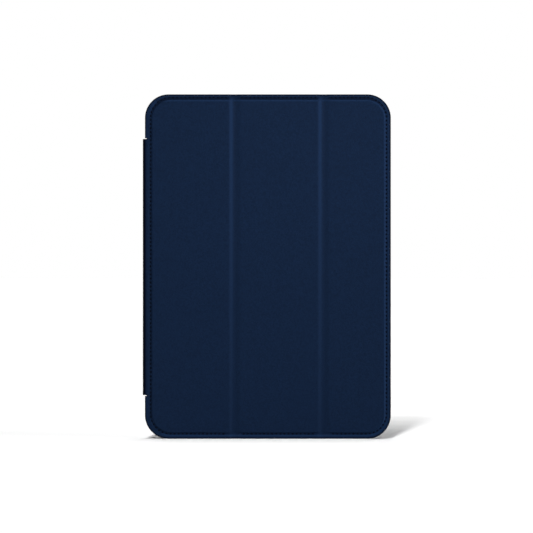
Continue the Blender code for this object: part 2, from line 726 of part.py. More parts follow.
LAMP_X = KEYBOARD_LEFT_X + LAMP_FROM_EDGE + LAMP_WIDTH / 2
LAMPS_Z = KEYBOARD_BOTTOM + KEYBOARD_RADIUS + 2 * LAMP_SPACING
SOCKET_X = KEYBOARD_LEFT_X + SOCKET_FROM_EDGE
SWITCH_X = KEYBOARD_LEFT_X + SWITCH_FROM_EDGE
SOCKET_Y = KEYBOARD_Y + (BASE_FLOOR + BASE_DEPTH) / 2


def touchpad_outline(grow):
    return rectangle(
        PALM_LEFT_X + TOUCHPAD_FROM_KEYS - grow,
        KEYBOARD_RIGHT_X - TOUCHPAD_FROM_EDGE + grow,
        MIDDLE_Z - TOUCHPAD_LENGTH / 2 - grow,
        MIDDLE_Z + TOUCHPAD_LENGTH / 2 + grow,
        TOUCHPAD_RADIUS + grow,
        4,
    )


def lamp_rectangles(grow=0.0):
    rows = []
    for lamp in range(LAMP_COUNT):
        z = LAMPS_Z + (lamp - (LAMP_COUNT - 1) / 2) * LAMP_SPACING
        rows.append(
            (
                LAMP_X - LAMP_WIDTH / 2 - grow,
                LAMP_X + LAMP_WIDTH / 2 + grow,
                z - LAMP_LENGTH / 2 - grow,
                z + LAMP_LENGTH / 2 + grow,
            )
        )
    return rows


def build_keyboard_housing():
    base = plate(
        "keyboard_base", [keyboard_outline(0)], KEYBOARD_Y, KEYBOARD_Y + BASE_DEPTH, look=DARK_PLASTIC
    )
    hollow = plate(
        "keyboard_hollow", [keyboard_outline(BASE_WALL)], KEYBOARD_Y + BASE_FLOOR,
        KEYBOARD_Y + BASE_DEPTH + PAST,
    )
    socket_hole = slot(
        "socket_cutter", SOCKET_X, SOCKET_Y, SOCKET_LENGTH + 2 * KEY_CLEARANCE,
        SOCKET_WIDTH + GLUE, KEYBOARD_TOP - BASE_WALL - PAST / 2, KEYBOARD_TOP + PAST, LYING_FLAT,
    )
    switch_hole = slot(
        "switch_cutter", SWITCH_X + SWITCH_TRAVEL / 2, SOCKET_Y,
        SWITCH_LENGTH + SWITCH_TRAVEL + 2 * KEY_CLEARANCE, SWITCH_WIDTH + 2 * KEY_CLEARANCE,
        KEYBOARD_TOP - BASE_WALL - PAST / 2, KEYBOARD_TOP + PAST, LYING_FLAT,
    )
    cut(base, hollow, socket_hole, switch_hole)
    windows = [rectangle(*key) for _, keys in key_groups(KEY_CLEARANCE) for key in keys]
    windows += [rectangle(*lamp) for lamp in lamp_rectangles(KEY_CLEARANCE)]
    windows.append(touchpad_outline(KEY_CLEARANCE))
    plate(
        "keyboard_deck", [keyboard_outline(0), *windows], DECK_Y, DECK_Y + DECK, look=DARK_PLASTIC
    )
    plate(
        "screen_bumper", [keyboard_outline(BUMPER_EDGE), keyboard_outline(BUMPER_EDGE + BUMPER_WIDTH)],
        DECK_Y + DECK + GLUE, KEYBOARD_Y + KEYBOARD_DEPTH, look=BLACK_RUBBER,
    )
    half = PAD_DIAMETER / 2
    for side, x in (("left", KEYBOARD_LEFT_X + PAD_INSET), ("right", KEYBOARD_RIGHT_X - PAD_INSET)):
        for level, z in (("lower", KEYBOARD_BOTTOM + PAD_INSET), ("upper", KEYBOARD_TOP - PAD_INSET)):
            pad = rectangle(x - half, x + half, z - half, z + half, half * 0.98, 5)
            name = f"foot_pad_{level}_{side}"
            plate(name, [pad], KEYBOARD_Y - PAD_SPACE + GLUE, KEYBOARD_Y - GLUE, look=BLACK_RUBBER)


def build_keys():
    for name, keys in key_groups():
        left = min(key[0] for key in keys) - KEY_WEB_MARGIN
        right = max(key[1] for key in keys) + KEY_WEB_MARGIN
        bottom = min(key[2] for key in keys) - KEY_WEB_MARGIN
        top = max(key[3] for key in keys) + KEY_WEB_MARGIN
        low = (left, KEY_WEB_Y, bottom)
        high = (right, KEY_WEB_Y + KEY_WEB, top)
        studded_bar(name, low, high, keys, DECK_Y + DECK + KEY_PROUD, KEY_PLASTIC, KEY_TAPER)


def laid_in(name, sides, thickness, look):
    """A flat piece resting in the base, between the sides (left, right, bottom, top)."""
    left, right, bottom, top = sides
    return block(name, (left, INSIDE_Y, bottom), (right, INSIDE_Y + thickness, top), look)


def build_keyboard_inside():
    keys_left = KEYBOARD_LEFT_X + KEYS_FROM_EDGE
    low = (keys_left, MEMBRANE_Y, KEYBOARD_BOTTOM + MEMBRANE_FROM_END)
    high = (keys_left + KEYS_ACROSS, MEMBRANE_Y + MEMBRANE, KEYBOARD_TOP - MEMBRANE_FROM_END)
    block("key_membrane", low, high, GREEN_BOARD)
    left, right = HOLDING_MAGNET_X - MAGNET_WIDTH / 2, HOLDING_MAGNET_X + MAGNET_WIDTH / 2
    for name, _, z, length in magnet_pair("holding_plate", HOLDING_MAGNET_X, HOLDING_MAGNET_FROM_END):
        laid_in(name, (left, right, z - length / 2, z + length / 2), HOLDING_PLATE, MAGNET_METAL)
    left, right = PALM_LEFT_X + BATTERY_SPACE, KEYBOARD_RIGHT_X - BATTERY_SPACE
    bottom, top = MIDDLE_Z + TOUCHPAD_LENGTH / 2 + BATTERY_SPACE, KEYBOARD_TOP - BATTERY_SPACE
    laid_in("battery", (left, right, bottom, top), BATTERY, POUCH_FOIL)
    left, right = PALM_LEFT_X + CONTROLLER_SPACE, KEYBOARD_RIGHT_X - CONTROLLER_SPACE
    bottom, top = KEYBOARD_BOTTOM + CONTROLLER_SPACE, MIDDLE_Z - TOUCHPAD_LENGTH / 2 - CONTROLLER_SPACE
    laid_in("controller_board", (left, right, bottom, top), CONTROLLER, GREEN_BOARD)
    left = PALM_LEFT_X + TOUCHPAD_FROM_KEYS + TOUCHPAD_BOARD_INSET
    right = KEYBOARD_RIGHT_X - TOUCHPAD_FROM_EDGE - TOUCHPAD_BOARD_INSET
    half = TOUCHPAD_LENGTH / 2 - TOUCHPAD_BOARD_INSET
    laid_in("touchpad_board", (left, right, MIDDLE_Z - half, MIDDLE_Z + half), TOUCHPAD_BOARD, GREEN_BOARD)
    pad_y = DECK_Y + DECK - TOUCHPAD_BELOW_DECK
    plate("touchpad", [touchpad_outline(0)], pad_y - TOUCHPAD_PLATE, pad_y, look=KEY_PLASTIC)
    outer = rectangle(
        SOCKET_X - SOCKET_LENGTH / 2, SOCKET_X + SOCKET_LENGTH / 2,
        SOCKET_Y - SOCKET_WIDTH / 2, SOCKET_Y + SOCKET_WIDTH / 2, SOCKET_WIDTH * 0.45, 4,
    )
    inner = rectangle(
        SOCKET_X - SOCKET_LENGTH / 2 + SOCKET_WALL, SOCKET_X + SOCKET_LENGTH / 2 - SOCKET_WALL,
        SOCKET_Y - SOCKET_WIDTH / 2 + SOCKET_WALL, SOCKET_Y + SOCKET_WIDTH / 2 - SOCKET_WALL,
        SOCKET_WIDTH * 0.45 - SOCKET_WALL, 4,
    )
    plate(
        "charging_socket", [outer, inner], KEYBOARD_TOP - SOCKET_REACH, KEYBOARD_TOP - GLUE,
        plane=LYING_FLAT, look=MAGNET_METAL,
    )
    slot(
        "power_switch", SWITCH_X, SOCKET_Y, SWITCH_LENGTH, SWITCH_WIDTH,
        KEYBOARD_TOP - SWITCH_REACH, KEYBOARD_TOP + SWITCH_PROUD, LYING_FLAT,
    )
    lamps = lamp_rectangles()
    low = (LAMP_X - LAMP_WIDTH, DECK_Y - 2 * KEY_WEB, lamps[0][2] - LAMP_WIDTH)
    high = (LAMP_X + LAMP_WIDTH, DECK_Y - GLUE, lamps[-1][3] + LAMP_WIDTH)
    studded_bar("indicator_lens", low, high, lamps, DECK_Y + DECK, CLEAR_LENS)


def pivot(name, place, pieces, parent=None):
    """An empty on a joint's axis, carrying the pieces that move about it or along it."""
    carrier = bpy.data.objects.new(name, None)
    carrier.empty_display_size = FOLD_CHANNEL
    carrier.location = place
    CASE.objects.link(carrier)
    bpy.context.view_layer.update()
    for child in [bpy.data.objects[piece] for piece in pieces]:
        child.parent = carrier
        child.matrix_parent_inverse = carrier.matrix_world.inverted()
    if parent:
        carrier.parent = parent
        carrier.matrix_parent_inverse = parent.matrix_world.inverted()
    return carrier


def hang_moving_pieces():
    spine = pivot(
        "spine_pivot", (*REAR_SPINE_AXIS, SPINE_BOTTOM), ["spine_skin", "spine_board", "spine_lining"]
    )
    hinge = pivot(
        "cover_pivot",
        (*FRONT_SPINE_AXIS, SPINE_BOTTOM),
        [piece.name for piece in CASE.objects if piece.name.startswith(("hinge_panel", "holding_m"))]
        + ["front_spine_fold"],
        spine,
    )
    middle = pivot(
        "first_fold_pivot",
        (*FIRST_FOLD_AXIS, 0),
        [piece.name for piece in CASE.objects if piece.name.startswith(("middle_panel", "stand_m"))]
        + ["first_cover_fold"],
        hinge,
    )
    pivot(
        "second_fold_pivot",
        (*SECOND_FOLD_AXIS, 0),
        [piece.name for piece in CASE.objects if piece.name.startswith(("free_panel", "closing_m"))]
        + ["sleep_magnet", "second_cover_fold"],
        middle,
    )
    keyboard = pivot(
        "keyboard_slide",
        (KEYBOARD_LEFT_X, KEYBOARD_Y, KEYBOARD_BOTTOM),
        [piece.name for piece in CASE.objects if piece.name.startswith(KEYBOARD_PIECES)],
        hinge,
    )
    for name, keys in key_groups():
        middle_of_keys = ((keys[0][0] + keys[0][1]) / 2, KEY_WEB_Y, (keys[0][3] + keys[-1][2]) / 2)
        pivot(name + "_slide", middle_of_keys, [name], keyboard)
    touchpad_x = (PALM_LEFT_X + TOUCHPAD_FROM_KEYS + KEYBOARD_RIGHT_X - TOUCHPAD_FROM_EDGE) / 2
    pivot("touchpad_slide", (touchpad_x, DECK_Y, MIDDLE_Z), ["touchpad"], keyboard)
    pivot("power_switch_slide", (SWITCH_X, SOCKET_Y, KEYBOARD_TOP), ["power_switch"], keyboard)
    pivot("volume_up_slide", (TRAY_RIGHT_X, TABLET_Y, VOLUME_UP_Z), ["volume_up_button"])
    pivot("volume_down_slide", (TRAY_RIGHT_X, TABLET_Y, VOLUME_DOWN_Z), ["volume_down_button"])
    pivot("power_button_slide", (POWER_X, TABLET_Y, TRAY_HEIGHT), ["power_button"])


KEYBOARD_PIECES = (
    "keyboard_", "screen_bumper", "foot_pad", "key_membrane", "holding_plate", "battery",
    "controller_board", "touchpad_board", "charging_socket", "indicator_lens",
)

build_tray()
build_buttons()
build_cover()
build_cover_folds()
build_spine()
build_keyboard_housing()
build_keys()
build_keyboard_inside()
hang_moving_pieces()
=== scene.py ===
import json
import math

import bmesh
import bpy
from mathutils import Matrix, Vector


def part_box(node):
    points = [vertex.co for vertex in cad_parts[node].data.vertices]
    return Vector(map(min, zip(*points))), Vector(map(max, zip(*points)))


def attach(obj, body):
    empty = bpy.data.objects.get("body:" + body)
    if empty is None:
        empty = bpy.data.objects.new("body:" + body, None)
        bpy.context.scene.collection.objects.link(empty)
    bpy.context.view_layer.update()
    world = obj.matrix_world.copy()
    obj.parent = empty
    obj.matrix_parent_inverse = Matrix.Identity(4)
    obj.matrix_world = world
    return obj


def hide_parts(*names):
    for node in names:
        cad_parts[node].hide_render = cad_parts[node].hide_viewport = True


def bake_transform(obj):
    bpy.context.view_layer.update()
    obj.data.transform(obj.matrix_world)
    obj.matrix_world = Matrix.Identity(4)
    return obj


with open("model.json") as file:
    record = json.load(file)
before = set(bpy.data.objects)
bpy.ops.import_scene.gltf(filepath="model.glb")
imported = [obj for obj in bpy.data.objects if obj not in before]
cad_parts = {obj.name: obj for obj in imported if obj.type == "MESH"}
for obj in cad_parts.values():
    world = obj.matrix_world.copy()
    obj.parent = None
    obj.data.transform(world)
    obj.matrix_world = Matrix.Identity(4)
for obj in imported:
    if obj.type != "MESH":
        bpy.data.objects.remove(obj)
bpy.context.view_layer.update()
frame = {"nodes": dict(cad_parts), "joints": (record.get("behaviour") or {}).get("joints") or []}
mm = 0.001

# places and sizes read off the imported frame
hingeLow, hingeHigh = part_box("hinge_panel_skin")
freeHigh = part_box("free_panel_skin")[1]
liningLow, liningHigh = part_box("middle_panel_lining")
spineLow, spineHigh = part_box("spine_skin")
spineLiningLow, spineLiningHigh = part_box("spine_lining")
frontFoldLow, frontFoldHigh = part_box("front_spine_fold")
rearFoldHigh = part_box("rear_spine_fold")[1]
backLow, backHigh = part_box("back_skin")
bezelLow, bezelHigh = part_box("camera_bezel")
jointX = {joint["name"]: joint["pos_m"][0] for joint in frame["joints"] if "pos_m" in joint}
foldX = [jointX["first_fold"], jointX["second_fold"]]
coverLeft, coverRight, coverTop, frontY = hingeLow.x, freeHigh.x, freeHigh.z, hingeLow.y


# Selecting and shaping by hand
def deselectAll():
    active = bpy.context.view_layer.objects.active
    if active and active.mode != "OBJECT":
        bpy.ops.object.mode_set(mode="OBJECT")
    bpy.ops.object.select_all(action="DESELECT")


def activate(piece):
    deselectAll()
    piece.select_set(True)
    bpy.context.view_layer.objects.active = piece
    return piece


def edit(piece):
    activate(piece)
    bpy.ops.object.mode_set(mode="EDIT")


def pick(piece, kind, test):  # in edit mode, selects just what passes the test
    bpy.ops.mesh.select_mode(type=kind)
    bpy.ops.mesh.select_all(action="DESELECT")
    mesh = bmesh.from_edit_mesh(piece.data)
    mesh.normal_update()
    chosen = [item for item in {"VERT": mesh.verts, "EDGE": mesh.edges, "FACE": mesh.faces}[kind] if test(item)]
    for item in chosen:
        item.select_set(True)
    mesh.select_flush_mode()
    bmesh.update_edit_mesh(piece.data)
    return chosen


def slab(name, low, high):  # a block between two corners, with its place in its mesh
    deselectAll()
    low, high = Vector(low), Vector(high)
    bpy.ops.mesh.primitive_cube_add(size=1, location=(low + high) / 2, scale=high - low)
    piece = bpy.context.object
    piece.name = piece.data.name = name
    bpy.ops.object.transform_apply(location=True, rotation=True, scale=True)
    return piece


def along(edge, axis):
    way = edge.verts[1].co - edge.verts[0].co
    return abs(way.normalized()[axis]) > 0.99


def roundCorners(piece, radius, steps, axis=1, test=None):  # the edges that run along one axis
    edit(piece)
    pick(piece, "EDGE", lambda edge: along(edge, axis) and (test is None or test(edge)))
    bpy.ops.mesh.bevel(offset=radius, segments=steps, affect="EDGES")
    bpy.ops.object.mode_set(mode="OBJECT")


def roundRim(piece, facing, radius, steps):  # the edges round the flat face that looks one way
    edit(piece)
    way = Vector(facing)
    pick(piece, "FACE", lambda face: face.normal.dot(way) > 0.99)
    bpy.ops.mesh.region_to_loop()
    bpy.ops.mesh.bevel(offset=radius, segments=steps, affect="EDGES", profile=0.5)
    bpy.ops.object.mode_set(mode="OBJECT")


def cutAt(piece, point, normal, clear=None):
    edit(piece)
    bpy.ops.mesh.select_all(action="SELECT")
    bpy.ops.mesh.bisect(
        plane_co=point, plane_no=normal, use_fill=clear is not None,
        clear_inner=clear == "inner", clear_outer=clear == "outer", threshold=1e-6,
    )
    bpy.ops.object.mode_set(mode="OBJECT")


def copyOf(piece, name):
    twin = piece.copy()
    twin.data = piece.data.copy()
    twin.name = twin.data.name = name
    bpy.context.scene.collection.objects.link(twin)
    return twin


def stretchBetween(piece, name, left, right):  # the part of a piece between two places across it
    part = copyOf(piece, name)
    if left is not None:
        cutAt(part, (left, 0, 0), (1, 0, 0), "inner")
    if right is not None:
        cutAt(part, (right, 0, 0), (1, 0, 0), "outer")
    return part


def applyAll(piece):
    activate(piece)
    for modifier in list(piece.modifiers):
        bpy.ops.object.modifier_apply(modifier=modifier.name)
    return piece


def carve(piece, cutter):  # takes a cutter out of a piece and throws the cutter away
    boolean = piece.modifiers.new("carve", "BOOLEAN")
    boolean.operation = "DIFFERENCE"
    boolean.solver = "EXACT"
    boolean.object = cutter
    applyAll(piece)
    bpy.data.objects.remove(cutter, do_unlink=True)
    return piece


def smooth(piece, degrees=50):
    activate(piece)
    bpy.ops.object.shade_smooth_by_angle(angle=math.radians(degrees))
    return piece


def joined(pieces, name):
    activate(pieces[0])
    for piece in pieces:
        piece.select_set(True)
    if len(pieces) > 1:
        bpy.ops.object.join()
    whole = bpy.context.object
    whole.name = whole.data.name = name
    return whole


def ease(t):  # smooth step from 0 to 1
    t = min(max(t, 0.0), 1.0)
    return t * t * (3 - 2 * t)


# Shader sums and nodes
class Flow:  # a socket that can be used in sums
    def __init__(self, finish, socket):
        self.finish, self.socket = finish, socket

    def sum(self, operation, other, swap=False):
        values = [other, self] if swap else [self, other]
        return self.finish.node("Math", {"operation": operation}, {0: values[0], 1: values[1]})

    def __add__(self, other):
        return self.sum("ADD", other)

    def __radd__(self, other):
        return self.sum("ADD", other, True)

    def __sub__(self, other):
        return self.sum("SUBTRACT", other)

    def __rsub__(self, other):
        return self.sum("SUBTRACT", other, True)

    def __mul__(self, other):
        return self.sum("MULTIPLY", other)

    def __rmul__(self, other):
        return self.sum("MULTIPLY", other, True)


class Finish:  # one material, with its constants set on the shader itself
    def __init__(self, name, **constants):
        self.material = bpy.data.materials.new(name)
        self.material.use_nodes = True
        self.tree = self.material.node_tree
        self.shader = self.tree.nodes["Principled BSDF"]
        for socket, value in constants.items():
            self.shader.inputs[socket.replace("_", " ")].default_value = value

    def node(self, kind, settings=None, inputs=None, outlet=0):
        made = self.tree.nodes.new("ShaderNode" + kind)
        for key, value in (settings or {}).items():
            if key == "stops":
                for stop, (place, colour) in zip(self.stopsOf(made, len(value)), value):
                    stop.position, stop.color = place, colour
            else:
                setattr(made, key, value)
        for key, value in (inputs or {}).items():
            if isinstance(value, Flow):
                self.tree.links.new(value.socket, made.inputs[key])
            else:
                made.inputs[key].default_value = value
        return Flow(self, made.outputs[outlet])

    def stopsOf(self, ramp, count):
        stops = ramp.color_ramp.elements
        while len(stops) < count:
            stops.new(1.0)
        return stops

    def feed(self, **flows):
        for socket, flow in flows.items():
            self.tree.links.new(flow.socket, self.shader.inputs[socket.replace("_", " ")])
        return self

    def place(self, stretch=(1, 1, 1), turn=(0, 0, 0)):
        coordinates = self.node("TexCoord", outlet="Object")
        return self.node("Mapping", {}, {"Vector": coordinates, "Scale": stretch, "Rotation": turn})

    def noise(self, scale, detail=2.0, roughness=0.5, stretch=(1, 1, 1)):
        values = {"Vector": self.place(stretch), "Scale": scale, "Detail": detail, "Roughness": roughness}
        return self.node("TexNoise", {}, values)

    def cells(self, scale, feature="F1", stretch=(1, 1, 1)):
        values = {"Vector": self.place(stretch), "Scale": scale}
        return self.node("TexVoronoi", {"feature": feature}, values)

    def blendColours(self, share, first, second):
        values = {"Factor": share, 6: first, 7: second}
        return self.node("Mix", {"data_type": "RGBA"}, values, outlet=2)

    def bump(self, height, strength, distance):
        values = {"Height": height, "Strength": strength, "Distance": distance}
        return self.node("Bump", {}, values)


def tone(red, green, blue, share=1.0):
    return (red * share, green * share, blue * share, 1.0)


navy = (0.0033, 0.0101, 0.0290)


def leatherFinish():
    finish = Finish("navyLeather", Roughness=0.55, Specular_IOR_Level=0.025)
    pebble = finish.cells(1500, "SMOOTH_F1")
    crease = finish.cells(900, "DISTANCE_TO_EDGE")
    pores = finish.noise(4200, 3.0, 0.6)
    drift = finish.noise(14, 3.0, 0.55)
    # painted shade: the first attribute marks the turned edge, the top of the stitch channel, the top margin and the
    # bend at the spine's front
    turned = finish.node("Attribute", {"attribute_name": "turned"}, outlet="Fac")
    # painted highlight: the second attribute marks the margin below and at the right, the channel at the right, the
    # lip at the right and top, and the folds' left walls
    worn = finish.node("Attribute", {"attribute_name": "worn"}, outlet="Fac")
    mottle = finish.noise(1050, 2.0, 0.6)
    body = finish.blendColours(drift, tone(*navy, 0.94), tone(*navy, 1.06))
    grained = finish.blendColours((mottle - 0.5) * 2.4 + 0.5, body, tone(*navy, 0.6))
    pitted = finish.blendColours(pores * 0.25, grained, tone(*navy, 1.5))
    # painted highlight: lighter navy where the second attribute is set
    withPaintedHighlight = finish.blendColours(worn, pitted, tone(*navy, 1.75))
    finish.feed(
        # painted shade: near-black where the first attribute is set
        Base_Color=finish.blendColours(turned, withPaintedHighlight, tone(0.0001, 0.0008, 0.005)),
        Roughness=0.47 + 0.12 * drift + 0.08 * pores,
        Normal=finish.bump(pebble * 0.5 + pores * 0.35 + crease * 0.6, 0.6, 0.00014),
    )
    return finish.material


def threadFinish():
    finish = Finish("navyThread", Roughness=0.8, Specular_IOR_Level=0.04)
    strands = finish.noise(5200, 2.0, 0.6, (1, 1, 0.25))
    finish.feed(
        Base_Color=finish.blendColours(strands, tone(0.0003, 0.001, 0.004), tone(0.0008, 0.0026, 0.009)),
        Normal=finish.bump(strands, 0.5, 0.0001),
    )
    return finish.material


def microfibreFinish():
    finish = Finish("navyMicrofibre", Roughness=0.95, Specular_IOR_Level=0.1, Sheen_Weight=0.35)
    finish.shader.inputs["Sheen Roughness"].default_value = 0.45
    nap = finish.noise(2600, 5.0, 0.7)
    brushed = finish.noise(42, 3.0, 0.6, (1, 1, 0.4))
    body = finish.blendColours(brushed, tone(0.0085, 0.0165, 0.0385), tone(0.0135, 0.0245, 0.054))
    finish.feed(
        Base_Color=finish.blendColours(nap * 0.5, body, tone(0.005, 0.010, 0.025)),
        Normal=finish.bump(nap, 0.55, 0.0002),
    )
    return finish.material


def quiltedFinish():
    finish = Finish("quiltedLining", Roughness=0.92, Specular_IOR_Level=0.12)
    slope = {"wave_type": "BANDS", "bands_direction": "DIAGONAL"}
    ribs = finish.node("TexWave", slope, {"Vector": finish.place((1, 0, 1)), "Scale": 60.0})
    cross = finish.node("TexWave", slope, {"Vector": finish.place((1, 0, -1)), "Scale": 60.0})
    nap = finish.noise(2600, 4.0, 0.7)
    finish.feed(
        Base_Color=finish.blendColours(nap, tone(0.006, 0.012, 0.028), tone(0.013, 0.023, 0.05)),
        Normal=finish.bump(ribs * 0.5 + cross * 0.5 + nap * 0.3, 0.5, 0.0003),
    )
    return finish.material


def mouldedFinish(name, dark, light, roughness, grain, depth, specular=0.35):
    finish = Finish(name, Roughness=roughness, Specular_IOR_Level=specular)
    spark = finish.noise(grain, 4.0, 0.6)
    wear = finish.noise(26, 4.0, 0.6)
    finish.feed(
        Base_Color=finish.blendColours(wear, (*dark, 1.0), (*light, 1.0)),
        Roughness=roughness - 0.06 + 0.12 * wear + 0.06 * spark,
        Normal=finish.bump(spark, 0.3, depth),
    )
    return finish.material


def metalFinish(name, colour, roughness, stretch):
    finish = Finish(name, Metallic=1.0, Roughness=roughness)
    brush = finish.noise(900, 3.0, 0.6, stretch)
    finish.feed(
        Base_Color=finish.blendColours(brush, tone(*colour, 0.85), tone(*colour)),
        Roughness=roughness - 0.08 + 0.16 * brush,
        Normal=finish.bump(brush, 0.1, 0.00003),
    )
    return finish.material


def circuitFinish():
    finish = Finish("circuitBoard", Roughness=0.45)
    tracks = finish.cells(420, "DISTANCE_TO_EDGE", (1, 1, 2.5))
    line = finish.node("ValToRGB", {"stops": [(0.0, (1, 1, 1, 1)), (0.06, (0, 0, 0, 1))]}, {0: tracks})
    speckle = finish.noise(300, 2.0)
    mask = finish.blendColours(speckle, tone(0.008, 0.07, 0.03), tone(0.012, 0.1, 0.045))
    finish.feed(
        Base_Color=finish.blendColours(line, mask, tone(0.02, 0.2, 0.08)),
        Normal=finish.bump(tracks, 0.2, 0.0001),
    )
    return finish.material


def fibreboardFinish():
    finish = Finish("fibreboard", Roughness=0.92)
    fibres = finish.noise(700, 5.0, 0.7, (1, 1, 0.3))
    finish.feed(
        Base_Color=finish.blendColours(fibres, tone(0.24, 0.23, 0.21), tone(0.4, 0.38, 0.35)),
        Normal=finish.bump(fibres, 0.4, 0.0001),
    )
    return finish.material


finishes = {
    "leather": leatherFinish(),
    "thread": threadFinish(),
    "microfibre": microfibreFinish(),
    "quilted": quiltedFinish(),
    "shell": mouldedFinish("softShell", (0.0055, 0.0125, 0.033), (0.0075, 0.016, 0.041), 0.48, 3000, 0.00008),
    "housing": mouldedFinish("keyboardHousing", (0.009, 0.012, 0.019), (0.013, 0.017, 0.026), 0.5, 2600, 0.0001),
    "cap": mouldedFinish("keyCap", (0.008, 0.009, 0.012), (0.012, 0.013, 0.017), 0.5, 3400, 0.00006),
    "rubber": mouldedFinish("blackRubber", (0.008, 0.008, 0.009), (0.014, 0.014, 0.015), 0.8, 2200, 0.0001, 0.2),
    "pad": mouldedFinish("touchSurface", (0.011, 0.013, 0.018), (0.013, 0.016, 0.022), 0.32, 5200, 0.00002, 0.5),
    "legend": mouldedFinish("legendInk", (0.5, 0.52, 0.55), (0.6, 0.62, 0.65), 0.6, 4000, 0.00002),
    "lens": mouldedFinish("lampLens", (0.55, 0.62, 0.68), (0.65, 0.72, 0.78), 0.2, 900, 0.00002, 0.6),
    "nickel": metalFinish("nickelPlate", (0.62, 0.6, 0.57), 0.3, (1, 1, 0.1)),
    "foil": metalFinish("pouchFoil", (0.72, 0.73, 0.75), 0.4, (1, 1, 1)),
    "circuit": circuitFinish(),
    "board": fibreboardFinish(),
}
print("finishes made:", len(finishes))


def paint(piece, name):
    piece.data.materials.clear()
    piece.data.materials.append(finishes[name])
    return piece


def paintNodes(name, *nodes):
    for node in nodes:
        slots = frame["nodes"][node].material_slots
        for slot in slots:
            slot.material = finishes[name]


# The folio's stitched skins
coverLook = {
    "radius": 17.3 * mm, "arcSteps": 14,
    "marginDrop": 0.22 * mm, "roll": 0.75 * mm, "rollSteps": 4,
    "turnedEdge": 0.35 * mm, "margin": 0.5 * mm,
    "shifts": (1.65 * mm, 0.65 * mm, 1.1 * mm, 0.65 * mm), "stitchRise": 0.95 * mm,
    # the last value on the next line is the painted shade left in the stitch channel
    "channelWall": 0.3 * mm, "channelDepth": 0.42 * mm, "channelFloor": 1.3 * mm, "channelTone": 0.02,
    "lipWall": 0.4 * mm, "lip": 0.35 * mm, "lipHeight": 0.1 * mm, "lipFade": 1.0 * mm, "support": 0.6 * mm,
    "foldDepth": 0.85 * mm, "foldWidth": 9.2 * mm, "foldStart": 0.15 * mm, "foldSlope": 3.0 * mm,
    # the next line's second-last value is the strength of the painted highlight on each fold's left wall
    "foldWall": 5.2 * mm, "foldSteps": 23, "footPress": 0.65, "foldRub": 0.5, "seamPast": 1.3 * mm,
}
stitchLook = {
    "pitch": 3.0 * mm, "length": 1.6 * mm, "width": 1.05 * mm, "height": 0.5 * mm, "lift": 0.3 * mm,
    "topLift": 0.13 * mm, "lean": 0.07, "sunk": 0.17 * mm, "foldGap": (0.8 * mm, 0.64 * mm),
}


def outlineDistance(x, z, left, right, bottom, top, radius):  # how far inside a round-cornered outline
    cornerX = min(max(x, left + radius), right - radius)
    cornerZ = min(max(z, bottom + radius), top - radius)
    if cornerX == x or cornerZ == z:
        return min(x - left, right - x, z - bottom, top - z)
    return radius - math.hypot(x - cornerX, z - cornerZ)


def paintShadeAndHighlight(piece, box, reach, channelLevel, frontLevel, channelTone):
    # painted shade: 1 on the dark turned edge, less in the channel and most along its top, a little on the top
    # margin; painted highlight: 1 on the margin below, less at the right, in the channel at the right and on the lip
    # at the top and right
    left, right, bottom, top, radius = box
    piece.data.attributes.new("turned", "FLOAT", "POINT")
    piece.data.attributes.new("worn", "FLOAT", "POINT")
    turned, worn = piece.data.attributes["turned"].data, piece.data.attributes["worn"].data
    for number, vertex in enumerate(piece.data.vertices):
        x, z = vertex.co.x, vertex.co.z
        inside = outlineDistance(x, z, left, right, bottom, top, radius)
        turned[number].value = 1 - ease((inside - reach[0]) / (reach[1] - reach[0]))
        if not reach[1] < inside < 9 * mm:
            continue
        cornerX, cornerZ = min(max(x, left + radius), right - radius), min(max(z, bottom + radius), top - radius)
        towards = Vector((x - cornerX, z - cornerZ))
        towards = towards.normalized() if towards.length else towards
        # in the stitch channel: painted shade along the top, painted highlight at the right
        if abs(vertex.co.y - channelLevel) < 0.02 * mm:
            turned[number].value = channelTone + 0.5 * max(towards.y, 0)
            worn[number].value = 0.6 * max(towards.x, 0)
        # on the margin: painted highlight below and at the right, painted shade at the top
        elif abs(vertex.co.y - frontLevel) < 0.02 * mm and inside < 3.2 * mm:
            worn[number].value = max(towards.x * 0.5, -towards.y, 0)
            turned[number].value = max(turned[number].value, 0.25 * max(towards.y, 0))
        # on the lip: painted highlight at the right and at the top
        elif inside < 4.9 * mm:
            worn[number].value = 0.6 * max(towards.x, towards.y, 0)


